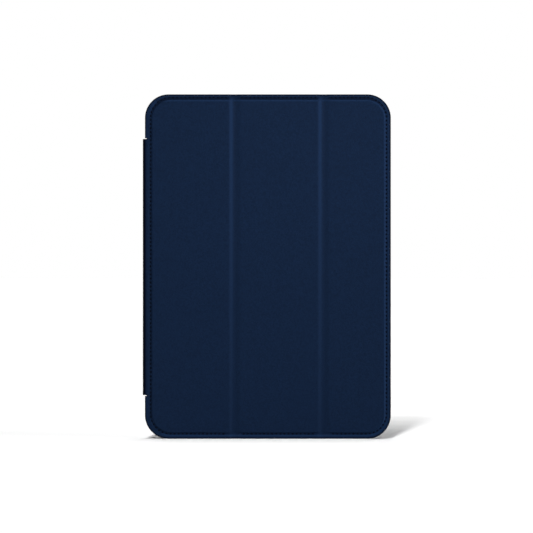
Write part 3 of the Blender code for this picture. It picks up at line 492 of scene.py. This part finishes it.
def stitchedSkin(name, low, high, facing, look):
    # a skin with a rolled edge, a margin, a sunk stitch channel and a raised lip round its panel
    drop = look["marginDrop"]
    start, stop = Vector(low), Vector(high)
    if facing < 0:
        start.y += drop
    else:
        stop.y -= drop
    skin = slab(name, start, stop)
    roundCorners(skin, look["radius"], look["arcSteps"])
    roundRim(skin, (0, facing, 0), look["roll"], look["rollSteps"])
    edit(skin)

    def pickFront():
        level = start.y if facing < 0 else stop.y
        deepest = max(
            (face for face in bmesh.from_edit_mesh(skin.data).faces if face.normal.y * facing > 0.99),
            key=lambda face: face.calc_area() * (abs(face.calc_center_median().y - level) < 2 * mm),
        ).index
        pick(skin, "FACE", lambda face: face.index == deepest)

    pickFront()
    bpy.ops.mesh.inset(thickness=look["turnedEdge"], depth=0)
    bpy.ops.mesh.inset(thickness=look["margin"], depth=0)
    leftShift, rightShift, bottomShift, topShift = look["shifts"]
    middle = (start + stop) / 2
    face = [face for face in bmesh.from_edit_mesh(skin.data).faces if face.select][0]
    loop = {vertex.index for vertex in face.verts}
    pick(skin, "VERT", lambda vertex: vertex.index in loop and vertex.co.x < middle.x)
    bpy.ops.transform.translate(value=(leftShift, 0, 0))
    pick(skin, "VERT", lambda vertex: vertex.index in loop and vertex.co.x > middle.x)
    bpy.ops.transform.translate(value=(-rightShift, 0, 0))
    pick(skin, "VERT", lambda vertex: vertex.index in loop and vertex.co.z < middle.z)
    bpy.ops.transform.translate(value=(0, 0, bottomShift))
    pick(skin, "VERT", lambda vertex: vertex.index in loop and vertex.co.z > middle.z)
    bpy.ops.transform.translate(value=(0, 0, -topShift))
    pickFront()
    rings = [
        (look["channelWall"], -look["channelDepth"]),
        (look["channelFloor"], 0),
        (look["lipWall"], look["channelDepth"] + drop),
        (look["lip"], look["lipHeight"]),
        (look["lipFade"], -look["lipHeight"]),
        (look["support"], 0),
    ]
    for thickness, depth in rings:
        bpy.ops.mesh.inset(thickness=thickness, depth=depth)
    bpy.ops.object.mode_set(mode="OBJECT")
    edge = (low.x, high.x, low.z, high.z, look["radius"])
    level = start.y if facing < 0 else stop.y
    paintShadeAndHighlight(skin, edge, (0.5 * mm, 1.15 * mm), level - facing * look["channelDepth"], level, look["channelTone"])
    return skin


def foldShape(across, look):  # depth of the pressed channel, 0 outside it, from its left to its right
    width = look["foldWidth"]
    if across <= 0 or across >= width:
        return 0.0
    down = ease((across - look["foldStart"]) / look["foldSlope"])
    up = ease((width - across) / look["foldWall"])
    return look["foldDepth"] * min(down, up)


def pressFold(skin, foldCentre, look, low, high):
    left = foldCentre - look["foldWidth"] / 2
    for step in range(look["foldSteps"] + 1):
        cutAt(skin, (left + look["foldWidth"] * step / look["foldSteps"], 0, 0), (1, 0, 0))
    level = low.y + look["marginDrop"] + look["channelDepth"] * 0.35
    deepest = low.y + look["marginDrop"] + look["channelDepth"] + 0.1 * mm
    paintedShades, marks = skin.data.attributes["turned"].data, skin.data.attributes["worn"].data
    for vertex, shade, mark in zip(skin.data.vertices, paintedShades, marks):
        across = vertex.co.x - left
        upward = (vertex.co.z - low.z) / (high.z - low.z)
        # the press is lighter near the foot
        depth = foldShape(across, look) * (look["footPress"] + (1 - look["footPress"]) * upward)
        if depth == 0.0 or vertex.co.y > low.y + 1.2 * mm:
            continue
        inset = min(vertex.co.z - low.z, high.z - vertex.co.z)
        past = (across - look["foldStart"] - 0.2 * mm) / (look["foldSlope"] * 1.1)
        # painted highlight on the fold's left wall, stronger towards the top
        if inset > 3.5 * mm and 0 < past < 1:
            mark.value = look["foldRub"] * upward * math.sin(math.pi * past) ** 0.5
        share = depth / look["foldDepth"]
        if inset > look["roll"] + look["turnedEdge"] and vertex.co.y <= deepest and inset < 6 * mm:
            vertex.co.y += (level - vertex.co.y) * share ** 0.4 * 0.8
            # the painted shade of the channel and edge fades where the press flattens them
            shade.value *= 1 - 0.85 * share ** 0.4
        vertex.co.y += depth


def stitchPath(left, right, bottom, top, radius):  # evenly spaced places and directions round a loop
    straightX, straightZ, arc = right - left - 2 * radius, top - bottom - 2 * radius, math.pi / 2 * radius
    total = 2 * (straightX + straightZ) + 4 * arc
    count = round(total / stitchLook["pitch"])
    corners = [(right - radius, bottom + radius), (right - radius, top - radius)]
    corners += [(left + radius, top - radius), (left + radius, bottom + radius)]
    starts = [(left + radius, bottom), (right, bottom + radius), (right - radius, top), (left, top - radius)]
    runs = [straightX, straightZ, straightX, straightZ]
    places = []
    for number in range(count):
        distance = total * number / count
        for side in range(4):
            heading = math.pi / 2 * side
            if distance < runs[side]:
                x = starts[side][0] + math.cos(heading) * distance
                z = starts[side][1] + math.sin(heading) * distance
                break
            distance -= runs[side]
            if distance < arc:
                heading += distance / radius
                x = corners[side][0] + math.sin(heading) * radius
                z = corners[side][1] - math.cos(heading) * radius
                break
            distance -= arc
        places.append((x, z, heading))
    return places


def stitchModel():  # one thread of the seam, lying along X, with sunk ends
    deselectAll()
    bpy.ops.mesh.primitive_cylinder_add(
        vertices=8, radius=stitchLook["width"] / 2, depth=stitchLook["length"], rotation=(0, math.pi / 2, 0)
    )
    stitch = bpy.context.object
    stitch.name = "stitchModel"
    bpy.ops.object.transform_apply(location=True, rotation=True, scale=True)
    edit(stitch)
    bpy.ops.mesh.select_all(action="SELECT")
    for share in (-0.3, 0.0, 0.3):
        bpy.ops.mesh.bisect(plane_co=(share * stitchLook["length"], 0, 0), plane_no=(1, 0, 0))
        bpy.ops.mesh.select_all(action="SELECT")
    bpy.ops.object.mode_set(mode="OBJECT")
    for vertex in stitch.data.vertices:
        end = abs(vertex.co.x) / (stitchLook["length"] / 2)
        shrink = 1 - 0.55 * end ** 3
        vertex.co.y *= shrink * stitchLook["height"] / stitchLook["width"]
        vertex.co.z *= shrink
        vertex.co.y += stitchLook["lift"] * end ** 2
    return stitch


def stitchRow(model, name, places, y, facing, body, topLift=0.0):
    threads = []
    for x, z, heading in places:
        thread = copyOf(model, "thread")
        lean = heading + stitchLook["lean"]
        turn = Matrix.Rotation(-lean, 4, "Y")
        mirror = Matrix.Scale(-facing, 4, Vector((0, 1, 0)))
        level = y + facing * topLift * max(-math.cos(heading), 0)
        thread.data.transform(Matrix.Translation((x, level, z)) @ turn @ mirror)
        if facing > 0:
            thread.data.flip_normals()
        threads.append(thread)
    row = joined(threads, name)
    paint(smooth(row, 80), "thread")
    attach(row, body)
    return row


def surfaceOf(piece):  # one side of a thin piece, in square metres
    return sum(face.area for face in piece.data.polygons) / 2


def declareSheet(piece):
    corners = [Vector(corner) for corner in piece.bound_box]
    sides = sorted((max(c[i] for c in corners) - min(c[i] for c in corners) for i in range(3)), reverse=True)
    area = surfaceOf(piece)
    across = max(sides[1], area / sides[0])


seamReach = coverLook["foldWidth"] / 2 + coverLook["seamPast"]
seams = [(x - seamReach, x + seamReach) for x in foldX]
notchX = frontFoldHigh.x
notchLow, notchHigh = frontFoldLow.z - 0.6 * mm, frontFoldHigh.z + 0.6 * mm


def notched(piece, edge, y0, y1, low=notchLow, high=notchHigh):  # leaves room for the spine at one side
    cutter = slab("notchCutter", (edge - 20 * mm, y0, low), (edge, y1, high))
    return carve(piece, cutter)


def foldRange(centre):
    half = coverLook["foldWidth"] / 2
    return centre - half, centre + half


def makeCover():
    low = Vector((coverLeft, frontY, 0))
    high = Vector((coverRight, hingeHigh.y, coverTop))
    whole = stitchedSkin("coverWhole", low, high, -1, coverLook)
    for centre in foldX:
        pressFold(whole, centre, coverLook, low, high)
    spans = [
        ("hingePanelCover", None, seams[0][0]), ("firstFoldCover", *seams[0]),
        ("middlePanelCover", seams[0][1], seams[1][0]), ("secondFoldCover", *seams[1]),
        ("freePanelCover", seams[1][1], None),
    ]
    parts = {name: stretchBetween(whole, name, left, right) for name, left, right in spans}
    bpy.data.objects.remove(whole, do_unlink=True)
    notched(parts["hingePanelCover"], notchX, frontY - mm, hingeHigh.y + mm)
    panels = {"hinge": "hingePanelCover", "middle": "middlePanelCover", "free": "freePanelCover"}
    for panel, name in panels.items():
        boardLow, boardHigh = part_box(panel + "_panel_board")
        gap = Vector((0.1 * mm, 0.1 * mm, 0.1 * mm))
        room = slab("boardRoom", boardLow - gap, Vector((boardHigh.x, boardHigh.y + mm, boardHigh.z)) + gap)
        roundCorners(room, 0.5 * mm, 1)
        carve(parts[name], room)
    for part in parts.values():
        paint(smooth(part), "leather")
    for panel, name in panels.items():
        declareSheet(parts[name])
        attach(parts[name], panel + "_panel")
        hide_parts(panel + "_panel_skin")
    declareSheet(parts["firstFoldCover"])
    declareSheet(parts["secondFoldCover"])
    bendAcross(parts["firstFoldCover"], foldX[0])
    bendAcross(parts["secondFoldCover"], foldX[1])
    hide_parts("first_cover_fold")
    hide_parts("second_cover_fold")
    print("cover made")


def bendAcross(piece, centre):
    left, right = foldRange(centre)
    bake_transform(piece)


def seamPlaces(low, high, look):  # where each stitch of a bordered skin goes
    inset = look["roll"] + look["turnedEdge"] + look["margin"] + look["channelWall"] + look["channelFloor"] / 2
    leftShift, rightShift, bottomShift, topShift = look["shifts"]
    left, right = low.x + inset + leftShift, high.x - inset - rightShift
    bottom, top = low.z + inset + bottomShift, high.z - inset - topShift + look["stitchRise"]
    return stitchPath(left, right, bottom, top, look["radius"] - inset)


def coverStitches(model):
    places = seamPlaces(Vector((coverLeft, 0, 0)), Vector((coverRight, 0, coverTop)), coverLook)
    y = frontY + coverLook["marginDrop"] + stitchLook["sunk"]
    before, after = stitchLook["foldGap"]
    (firstStart, firstStop), (secondStart, secondStop) = foldRange(foldX[0]), foldRange(foldX[1])
    bands = [
        ("hingePanelStitches", "hinge_panel", coverLeft, firstStart - before),
        ("middlePanelStitches", "middle_panel", firstStop + after, secondStart - before),
        ("freePanelStitches", "free_panel", secondStop + after, coverRight),
    ]
    for name, body, start, stop in bands:
        inBand = [place for place in places if start < place[0] < stop]
        stitchRow(model, name, inBand, y, -1, body, stitchLook["topLift"])
    print("cover stitched with", len(places), "stitches")


makeCover()
threadModel = stitchModel()
coverStitches(threadModel)
bpy.data.objects.remove(threadModel, do_unlink=True)


# The spine and its two soft folds
spineLook = {
    "bend": 3.0 * mm, "bendSteps": 10, "skin": 0.7 * mm, "lining": 0.5 * mm,
    "rise": 0.2 * mm, "narrowestSheet": 10 * mm,
}


def channelPiece(name, outside, inside, low, high, bend):  # a C-shaped strip between two depths of bend
    outer = slab(name, (low.x + outside, low.y + outside, low.z), (high.x, high.y - outside, high.z))
    roundCorners(outer, bend - outside, spineLook["bendSteps"], 2, lambda edge: edge.verts[0].co.x < low.x + mm)
    start, stop = (low.x + inside, low.y + inside, low.z - mm), (high.x + mm, high.y - inside, high.z + mm)
    inner = slab("roomInside", start, stop)
    innerBend = max(bend - inside, 0.4 * mm)
    roundCorners(inner, innerBend, spineLook["bendSteps"], 2, lambda edge: edge.verts[0].co.x < low.x + 3 * mm)
    return carve(outer, inner)


def lengthsOf(whole, names, cuts):  # splits a piece at places through its depth
    parts = []
    for number, name in enumerate(names):
        part = copyOf(whole, name)
        if number > 0:
            cutAt(part, (0, cuts[number - 1], 0), (0, 1, 0), "inner")
        if number < len(names) - 1:
            cutAt(part, (0, cuts[number], 0), (0, 1, 0), "outer")
        parts.append(part)
    bpy.data.objects.remove(whole, do_unlink=True)
    return parts


def bendRound(piece, start, end):  # bakes the piece's place into its mesh
    start, end = Vector(start), Vector(end)
    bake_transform(piece)


def makeSpine():
    bend, rise = spineLook["bend"], spineLook["rise"]
    low = Vector((spineLow.x, frontFoldLow.y + rise, spineLow.z))
    high = Vector((notchX, rearFoldHigh.y - 0.1 * mm, spineHigh.z))
    shell = channelPiece("spineWhole", 0, spineLook["skin"], low, high, bend)
    cuts = (spineLow.y, spineHigh.y)
    front, middle, rear = lengthsOf(shell, ("frontFoldSkin", "spineOuterSkin", "rearFoldSkin"), cuts)
    for part in (front, middle, rear):
        paint(smooth(part, 35), "leather")
        # painted shade: near-black along the bend at the spine's front, fading off inward
        part.data.attributes.new("turned", "FLOAT", "POINT")
        for vertex, shade in zip(part.data.vertices, part.data.attributes["turned"].data):
            across = vertex.co.x - low.x if vertex.co.y < cuts[0] else 9 * mm
            shade.value = 0.8 * (1 - ease((across - 1.6 * mm) / (0.9 * mm)))
            shade.value += 0.2 * (1 - ease((across - 3.2 * mm) / mm))
    linings = []
    for name, y0, y1 in (("frontFoldLining", low.y, cuts[0]), ("rearFoldLining", cuts[1], high.y)):
        strip = channelPiece(
            name, spineLook["skin"] + 0.02 * mm, spineLook["skin"] + spineLook["lining"],
            Vector((low.x, low.y, low.z + 0.8 * mm)), Vector((high.x - 0.05 * mm, high.y, high.z - 0.8 * mm)), bend,
        )
        cutAt(strip, (0, y0, 0), (0, 1, 0), "inner")
        cutAt(strip, (0, y1, 0), (0, 1, 0), "outer")
        paint(smooth(strip, 35), "microfibre")
        linings.append(strip)
    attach(middle, "spine")
    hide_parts("spine_skin")
    inner = slab("spineInnerLining", spineLiningLow, spineLiningHigh)
    roundRim(inner, (1, 0, 0), 0.25 * mm, 3)
    paint(smooth(inner), "microfibre")
    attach(inner, "spine")
    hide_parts("spine_lining")
    frontStart, frontEnd = (low.x, cuts[0], 0), (high.x, low.y, 0)
    rearStart, rearEnd = (high.x, high.y, 0), (low.x, cuts[1], 0)
    bendRound(front, frontStart, frontEnd)
    bendRound(linings[0], frontStart, frontEnd)
    bendRound(rear, rearStart, rearEnd)
    bendRound(linings[1], rearStart, rearEnd)
    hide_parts("front_spine_fold")
    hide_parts("rear_spine_fold")
    print("spine made")


makeSpine()


# The folio's lining
liningLook = {
    "radius": 16.5 * mm, "edge": 0.3 * mm, "border": 2.2 * mm, "press": 0.14 * mm,
    "pressWidth": 0.35 * mm, "creases": (1.6 * mm, 4.5 * mm, 7.4 * mm), "creaseWidth": 0.8 * mm,
    "creaseDepth": 0.16 * mm, "creaseStep": 0.2 * mm,
}


def makeLining():
    low = Vector((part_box("hinge_panel_lining")[0].x, liningLow.y, liningLow.z))
    high = Vector((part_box("free_panel_lining")[1].x, liningHigh.y, liningHigh.z))
    whole = slab("liningWhole", low, high)
    roundCorners(whole, liningLook["radius"], 12)
    roundRim(whole, (0, 1, 0), liningLook["edge"], 3)
    edit(whole)
    pick(whole, "FACE", lambda face: face.normal.y > 0.99 and face.calc_center_median().y > high.y - 0.01 * mm)
    press, pressWidth = liningLook["press"], liningLook["pressWidth"]
    for thickness, depth in ((liningLook["border"], 0), (pressWidth, -press), (pressWidth, press)):
        bpy.ops.mesh.inset(thickness=thickness, depth=depth)
    bpy.ops.object.mode_set(mode="OBJECT")
    for centre in foldX:
        left, right = foldRange(centre)
        steps = round((right - left) / liningLook["creaseStep"])
        for step in range(steps + 1):
            cutAt(whole, (left + (right - left) * step / steps, 0, 0), (1, 0, 0))
        for vertex in whole.data.vertices:
            if vertex.co.y < high.y - 0.3 * mm or not left < vertex.co.x < right:
                continue
            for crease in liningLook["creases"]:
                near = 1 - abs(vertex.co.x - left - crease) / liningLook["creaseWidth"]
                vertex.co.y -= liningLook["creaseDepth"] * ease(near)
    spans = [
        ("hingePanelLining", None, seams[0][0]), ("firstFoldLining", *seams[0]),
        ("middlePanelLining", seams[0][1], seams[1][0]), ("secondFoldLining", *seams[1]),
        ("freePanelLining", seams[1][1], None),
    ]
    parts = {name: stretchBetween(whole, name, left, right) for name, left, right in spans}
    bpy.data.objects.remove(whole, do_unlink=True)
    ends = (notchLow - 0.4 * mm, notchHigh + 0.4 * mm)
    notched(parts["hingePanelLining"], notchX + 0.2 * mm, low.y - mm, high.y + mm, *ends)
    for part in parts.values():
        paint(smooth(part), "microfibre")
    for panel in ("hinge", "middle", "free"):
        part = parts[panel + "PanelLining"]
        declareSheet(part)
        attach(part, panel + "_panel")
        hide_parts(panel + "_panel_lining")
    declareSheet(parts["firstFoldLining"])
    declareSheet(parts["secondFoldLining"])
    bendAcross(parts["firstFoldLining"], foldX[0])
    bendAcross(parts["secondFoldLining"], foldX[1])
    print("lining made")


makeLining()


# The tray's back skin and lining
backLook = {
    **coverLook, "radius": 15.7 * mm, "roll": 0.4 * mm, "rollSteps": 3, "marginDrop": 0.1 * mm,
    "turnedEdge": 0.35 * mm, "margin": 0.6 * mm, "shifts": (0.6 * mm, 0.0, 0.0, 0.0), "stitchRise": 0.0,
    "channelWall": 0.25 * mm, "channelDepth": 0.28 * mm, "channelFloor": 1.2 * mm, "lipHeight": 0.05 * mm,
}
trayLook = {
    "holeGap": 0.15 * mm, "holeRadius": 10.05 * mm, "radius": 15 * mm,
    "border": 3.2 * mm, "press": 0.12 * mm, "pressWidth": 0.5 * mm,
}


def cameraHole(piece, y0, y1):
    gap = trayLook["holeGap"]
    cutter = slab("holeCutter", (bezelLow.x - gap, y0, bezelLow.z - gap), (bezelHigh.x + gap, y1, bezelHigh.z + gap))
    roundCorners(cutter, trayLook["holeRadius"], 8)
    return carve(piece, cutter)


def makeBack(model):
    skin = stitchedSkin("backSkin", backLow, backHigh, 1, backLook)
    cameraHole(skin, backLow.y - mm, backHigh.y + mm)
    notched(skin, notchX, backLow.y - mm, backHigh.y + mm)
    paint(smooth(skin), "leather")
    declareSheet(skin)
    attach(skin, "tray")
    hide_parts("back_skin")
    y = backHigh.y - backLook["marginDrop"] - backLook["channelDepth"] + 0.1 * mm
    stitchRow(model, "backStitches", seamPlaces(backLow, backHigh, backLook), y, 1, "tray")

    low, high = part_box("tray_lining")
    lining = slab("trayLining", low, high)
    roundCorners(lining, trayLook["radius"], 10)
    edit(lining)
    pick(lining, "FACE", lambda face: face.normal.y < -0.99)
    press, pressWidth = trayLook["press"], trayLook["pressWidth"]
    for thickness, depth in ((trayLook["border"], 0), (pressWidth, -press), (pressWidth, press)):
        bpy.ops.mesh.inset(thickness=thickness, depth=depth)
    bpy.ops.object.mode_set(mode="OBJECT")
    cameraHole(lining, low.y - mm, high.y + mm)
    paint(smooth(lining), "quilted")
    declareSheet(lining)
    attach(lining, "tray")
    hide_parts("tray_lining")
    print("back made")


threadModel = stitchModel()
makeBack(threadModel)
bpy.data.objects.remove(threadModel, do_unlink=True)


# Keycaps and their legends
keyLook = {
    "fromEnd": 6.3 * mm, "pitch": 16.6 * mm, "functionRow": 9.8 * mm, "space": 2.4 * mm,
    "taper": 0.92, "corner": 1.9 * mm, "rim": 0.35 * mm, "dish": 0.14 * mm,
    "low": -2.35 * mm, "ink": 0.02 * mm, "aboveX": -2.4 * mm, "belowX": 2.2 * mm,
    "letterSize": 4.6 * mm, "lowerSize": 3.6 * mm, "upperSize": 3.2 * mm, "wordSize": 2.5 * mm, "arrowSize": 1.3 * mm,
}
letters = [list("qwertyuiop[]"), list("asdfghjkl;'"), list("zxcvbnm,./")]
keyRows = [
    ("function_keys", "function_key_row", 0, [1] * 14, ["esc"] + ["F%d" % n for n in range(1, 13)] + ["del"]),
    ("number_keys", "number_key_row", 0, [0.75] + [1] * 12 + [1.25], list("`1234567890-=") + ["back"]),
    ("upper_letter_keys", "upper_letter_key_row", 0, [1.25] + [1] * 12 + [0.75], ["tab"] + letters[0] + ["\\"]),
    ("home_letter_keys", "home_letter_key_row", 0, [1.5] + [1] * 11, ["caps"] + letters[1]),
    ("enter_key", "enter_key_cap", 12.5, [1.5], ["enter"]),
    ("lower_letter_keys", "lower_letter_key_row", 0, [2] + [1] * 12, ["shift"] + letters[2] + ["up", "shift"]),
    ("left_modifier_keys", "left_modifier_key_group", 0, [1, 1, 1, 1.25], ["fn", "ctrl", "alt", "meta"]),
    ("space_bar", "space_bar_cap", 4.25, [4.75], [""]),
    ("right_modifier_keys", "right_modifier_key_group", 9, [1] * 5, ["meta", "alt", "left", "down", "right"]),
]
raised = dict(zip("`1234567890-=[]\\;',./", "~!@#$%^&*()_+{}|:\"<>?"))
arrowTurns = {"up": 0, "left": 90, "down": 180, "right": 270}
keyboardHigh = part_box("keyboard_deck")[1]
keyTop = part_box("space_bar")[1].y
capModels = {}


def capModel(width, depth):  # a keycap of one size, in the middle of X and Z, at its own height
    size = (round(width * 1e5), round(depth * 1e5))
    if size not in capModels:
        cap = slab("capModel", (-depth / 2, keyLook["low"], -width / 2), (depth / 2, keyTop, width / 2))
        edit(cap)
        pick(cap, "FACE", lambda face: face.normal.y > 0.99)
        shrink = 1 - (1 - keyLook["taper"]) * min(depth, width) / Vector((depth, width)).length * 1.2
        bpy.ops.transform.resize(value=(shrink, 1, 1 - (1 - shrink) * depth / width))
        pick(cap, "EDGE", lambda edge: abs(edge.verts[0].co.y - edge.verts[1].co.y) > mm)
        bpy.ops.mesh.bevel(offset=keyLook["corner"], segments=4, affect="EDGES")
        bpy.ops.object.mode_set(mode="OBJECT")
        roundRim(cap, (0, 1, 0), keyLook["rim"], 3)
        edit(cap)
        pick(cap, "FACE", lambda face: face.normal.y > 0.99 and face.calc_center_median().y > keyTop - 0.01 * mm)
        bpy.ops.mesh.inset(thickness=0.7 * mm, depth=-keyLook["dish"] * 0.65)
        bpy.ops.mesh.inset(thickness=0.6 * mm, depth=-keyLook["dish"] * 0.35)
        bpy.ops.object.mode_set(mode="OBJECT")
        capModels[size] = smooth(cap, 40)
    return capModels[size]


def inkAt(mark, x, z):  # lays a flat mark, drawn in its own X and Y, on a cap: its up points to low X
    y = keyTop - keyLook["dish"] + keyLook["ink"]
    side = Matrix(((0, -1, 0, x), (0, 0, 1, y), (-1, 0, 0, z), (0, 0, 0, 1)))
    mark.data.transform(side)
    return mark


def textMark(words, size, x, z):
    deselectAll()
    bpy.ops.object.text_add()
    mark = bpy.context.object
    mark.data.body = words
    mark.data.size = size
    mark.data.align_x, mark.data.align_y = "CENTER", "CENTER"
    mark.data.resolution_u = 3
    bpy.ops.object.convert(target="MESH")
    return inkAt(bpy.context.object, x, z)


def arrowMark(turn, size, x, z):
    deselectAll()
    bpy.ops.mesh.primitive_circle_add(vertices=3, radius=size, fill_type="NGON")
    mark = bpy.context.object
    mark.data.transform(Matrix.Rotation(math.radians(turn), 4, "Z"))
    return inkAt(mark, x, z)


def legendFor(words, x, z):
    if not words:
        return []
    if words in arrowTurns:
        return [arrowMark(arrowTurns[words], keyLook["arrowSize"], x, z)]
    if words in raised:
        lower = textMark(words, keyLook["lowerSize"], x + keyLook["belowX"], z)
        return [lower, textMark(raised[words], keyLook["upperSize"], x + keyLook["aboveX"], z)]
    if len(words) == 1:
        return [textMark(words.upper(), keyLook["letterSize"], x, z)]
    return [textMark(words, keyLook["wordSize"], x, z)]


def homeBar(x, z):  # the small ridge that a finger finds
    start, stop = (x + 4.4 * mm, keyTop - 0.2 * mm, z - 1.6 * mm), (x + 4.9 * mm, keyTop + 0.05 * mm, z + 1.6 * mm)
    bar = slab("homeBar", start, stop)
    roundRim(bar, (0, 1, 0), 0.1 * mm, 2)
    return bar


def makeRow(node, body, firstUnit, widths, labels):
    rowLow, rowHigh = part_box(node)
    x = (rowLow.x + rowHigh.x) / 2
    depth = keyLook["functionRow"] - keyLook["space"] if node == "function_keys" else rowHigh.x - rowLow.x - 1.2 * mm
    done = keyLook["fromEnd"] + firstUnit * keyLook["pitch"]
    caps, marks = [], []
    for width, words in zip(widths, labels):
        size = width * keyLook["pitch"] - keyLook["space"]
        z = keyboardHigh.z - done - keyLook["space"] / 2 - size / 2
        cap = copyOf(capModel(size, depth), "cap")
        cap.data.transform(Matrix.Translation((x, 0, z)))
        caps.append(cap)
        marks += legendFor(words, x, z)
        if words in ("f", "j"):
            caps.append(homeBar(x, z))
        done += width * keyLook["pitch"]
    row = joined(caps, "caps_" + node)
    paint(row, "cap")
    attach(row, body)
    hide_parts(node)
    if marks:
        legends = joined(marks, "legends_" + node)
        paint(legends, "legend")
        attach(legends, body)


def makeKeys():
    for row in keyRows:
        makeRow(*row)
    for model in capModels.values():
        bpy.data.objects.remove(model, do_unlink=True)
    print("keys made:", sum(len(row[3]) for row in keyRows))


makeKeys()


# Pieces that keep their own shape
paintNodes("shell", "back_shell", "volume_up_button", "volume_down_button", "power_button")
paintNodes("housing", "camera_bezel", "keyboard_base", "keyboard_deck", "power_switch")
paintNodes("rubber", "screen_bumper", *[name for name in frame["nodes"] if name.startswith("foot_pad")])
paintNodes("pad", "touchpad")
paintNodes("lens", "indicator_lens")
paintNodes("nickel", "charging_socket", *[name for name in frame["nodes"] if "_magnet" in name or "_plate_" in name])
paintNodes("foil", "battery")
paintNodes("circuit", "key_membrane", "controller_board", "touchpad_board")
paintNodes("board", "spine_board", "hinge_panel_board", "middle_panel_board", "free_panel_board")
for name in ("back_shell", "camera_bezel", "keyboard_base", "keyboard_deck", "screen_bumper", "touchpad"):
    smooth(frame["nodes"][name], 30)
print("kept pieces finished")


# Camera, light and floor
studio = {
    "distance": 2.4, "fieldWidth": 0.39267, "aimHeight": 0.12693, "aimAcross": -0.0002, "sensor": 36.0, "glow": 0.04,
    "keyAcross": -8, "keySpread": 3.5, "keySteps": ((36, 0.95), (43, 0.67), (52, 0.62), (63, 0.5), (74, 0.27)),
    "suns": {"sideSun": (70, 3.2, 3.4, 6), "topSun": (176, 82, 0.9, 14)},  # across, height, strength, spread
    "spots": {  # place, aim, power
        "cornerSpot": ((0.5, -1.2, 0.38), (0.05, 0, 0.27), 26),
        "backSpot": ((-0.35, 1.6, 0.14), (0, 0, 0.127), 50),
    },
}


def makeCamera():
    deselectAll()
    place = (studio["aimAcross"], frontY - studio["distance"], studio["aimHeight"])
    bpy.ops.object.camera_add(location=place, rotation=(math.pi / 2, 0, 0))
    camera = bpy.context.object
    camera.data.sensor_width = studio["sensor"]
    camera.data.lens = studio["sensor"] * studio["distance"] / studio["fieldWidth"]
    camera.data.clip_start, camera.data.clip_end = 0.05, 40
    bpy.context.scene.camera = camera


def sunLamp(name, across, height, strength, spread):  # light from in front, across degrees to the right
    deselectAll()
    bpy.ops.object.light_add(type="SUN", location=(0, -2, 2))
    lamp = bpy.context.object
    lamp.name = name
    lamp.data.energy, lamp.data.angle = strength, math.radians(spread)
    lamp.rotation_euler = (math.radians(90 - height), 0, math.radians(across))


def softSpot(name, place, aim, power):  # a narrow lamp pointed at a place
    deselectAll()
    bpy.ops.object.light_add(type="SPOT", location=place)
    lamp = bpy.context.object
    lamp.name = name
    lamp.data.energy, lamp.data.spot_size, lamp.data.spot_blend = power, math.radians(20), 1.0
    lamp.data.shadow_soft_size = 0.1
    lamp.visible_camera = False
    lamp.rotation_euler = (Vector(aim) - Vector(place)).to_track_quat("-Z", "Y").to_euler()


def makeStudio():
    deselectAll()
    bpy.ops.mesh.primitive_plane_add(size=60, location=(0, 0, -0.02 * mm))
    floor = bpy.context.object
    floor.name = "studioFloor"
    bpy.ops.object.transform_apply(location=True, rotation=True, scale=True)
    white = Finish("studioWhite", Roughness=0.9, Specular_IOR_Level=0.0)
    white.feed(Base_Color=white.blendColours(white.noise(3.0), tone(0.945, 0.945, 0.945), tone(0.955, 0.955, 0.955)))
    floor.data.materials.append(white.material)
    world = bpy.data.worlds.new("studioWorld")
    bpy.context.scene.world = world
    world.use_nodes = True
    tree = world.node_tree
    rays = tree.nodes.new("ShaderNodeLightPath")
    level = tree.nodes.new("ShaderNodeMapRange")
    level.inputs["To Min"].default_value, level.inputs["To Max"].default_value = studio["glow"], 1.0
    tree.links.new(rays.outputs["Is Camera Ray"], level.inputs["Value"])
    tree.links.new(level.outputs["Result"], tree.nodes["Background"].inputs["Strength"])
    tree.nodes["Background"].inputs["Color"].default_value = (1, 1, 1, 1)
    for height, strength in studio["keySteps"]:  # together, a tall and narrow key light
        sunLamp(f"keySun{height}", studio["keyAcross"], height, strength, studio["keySpread"])
    for name, values in studio["suns"].items():
        sunLamp(name, *values)
    for name, values in studio["spots"].items():
        softSpot(name, *values)
    bpy.context.scene.view_settings.view_transform = "Standard"


makeCamera()
makeStudio()
print("studio made")
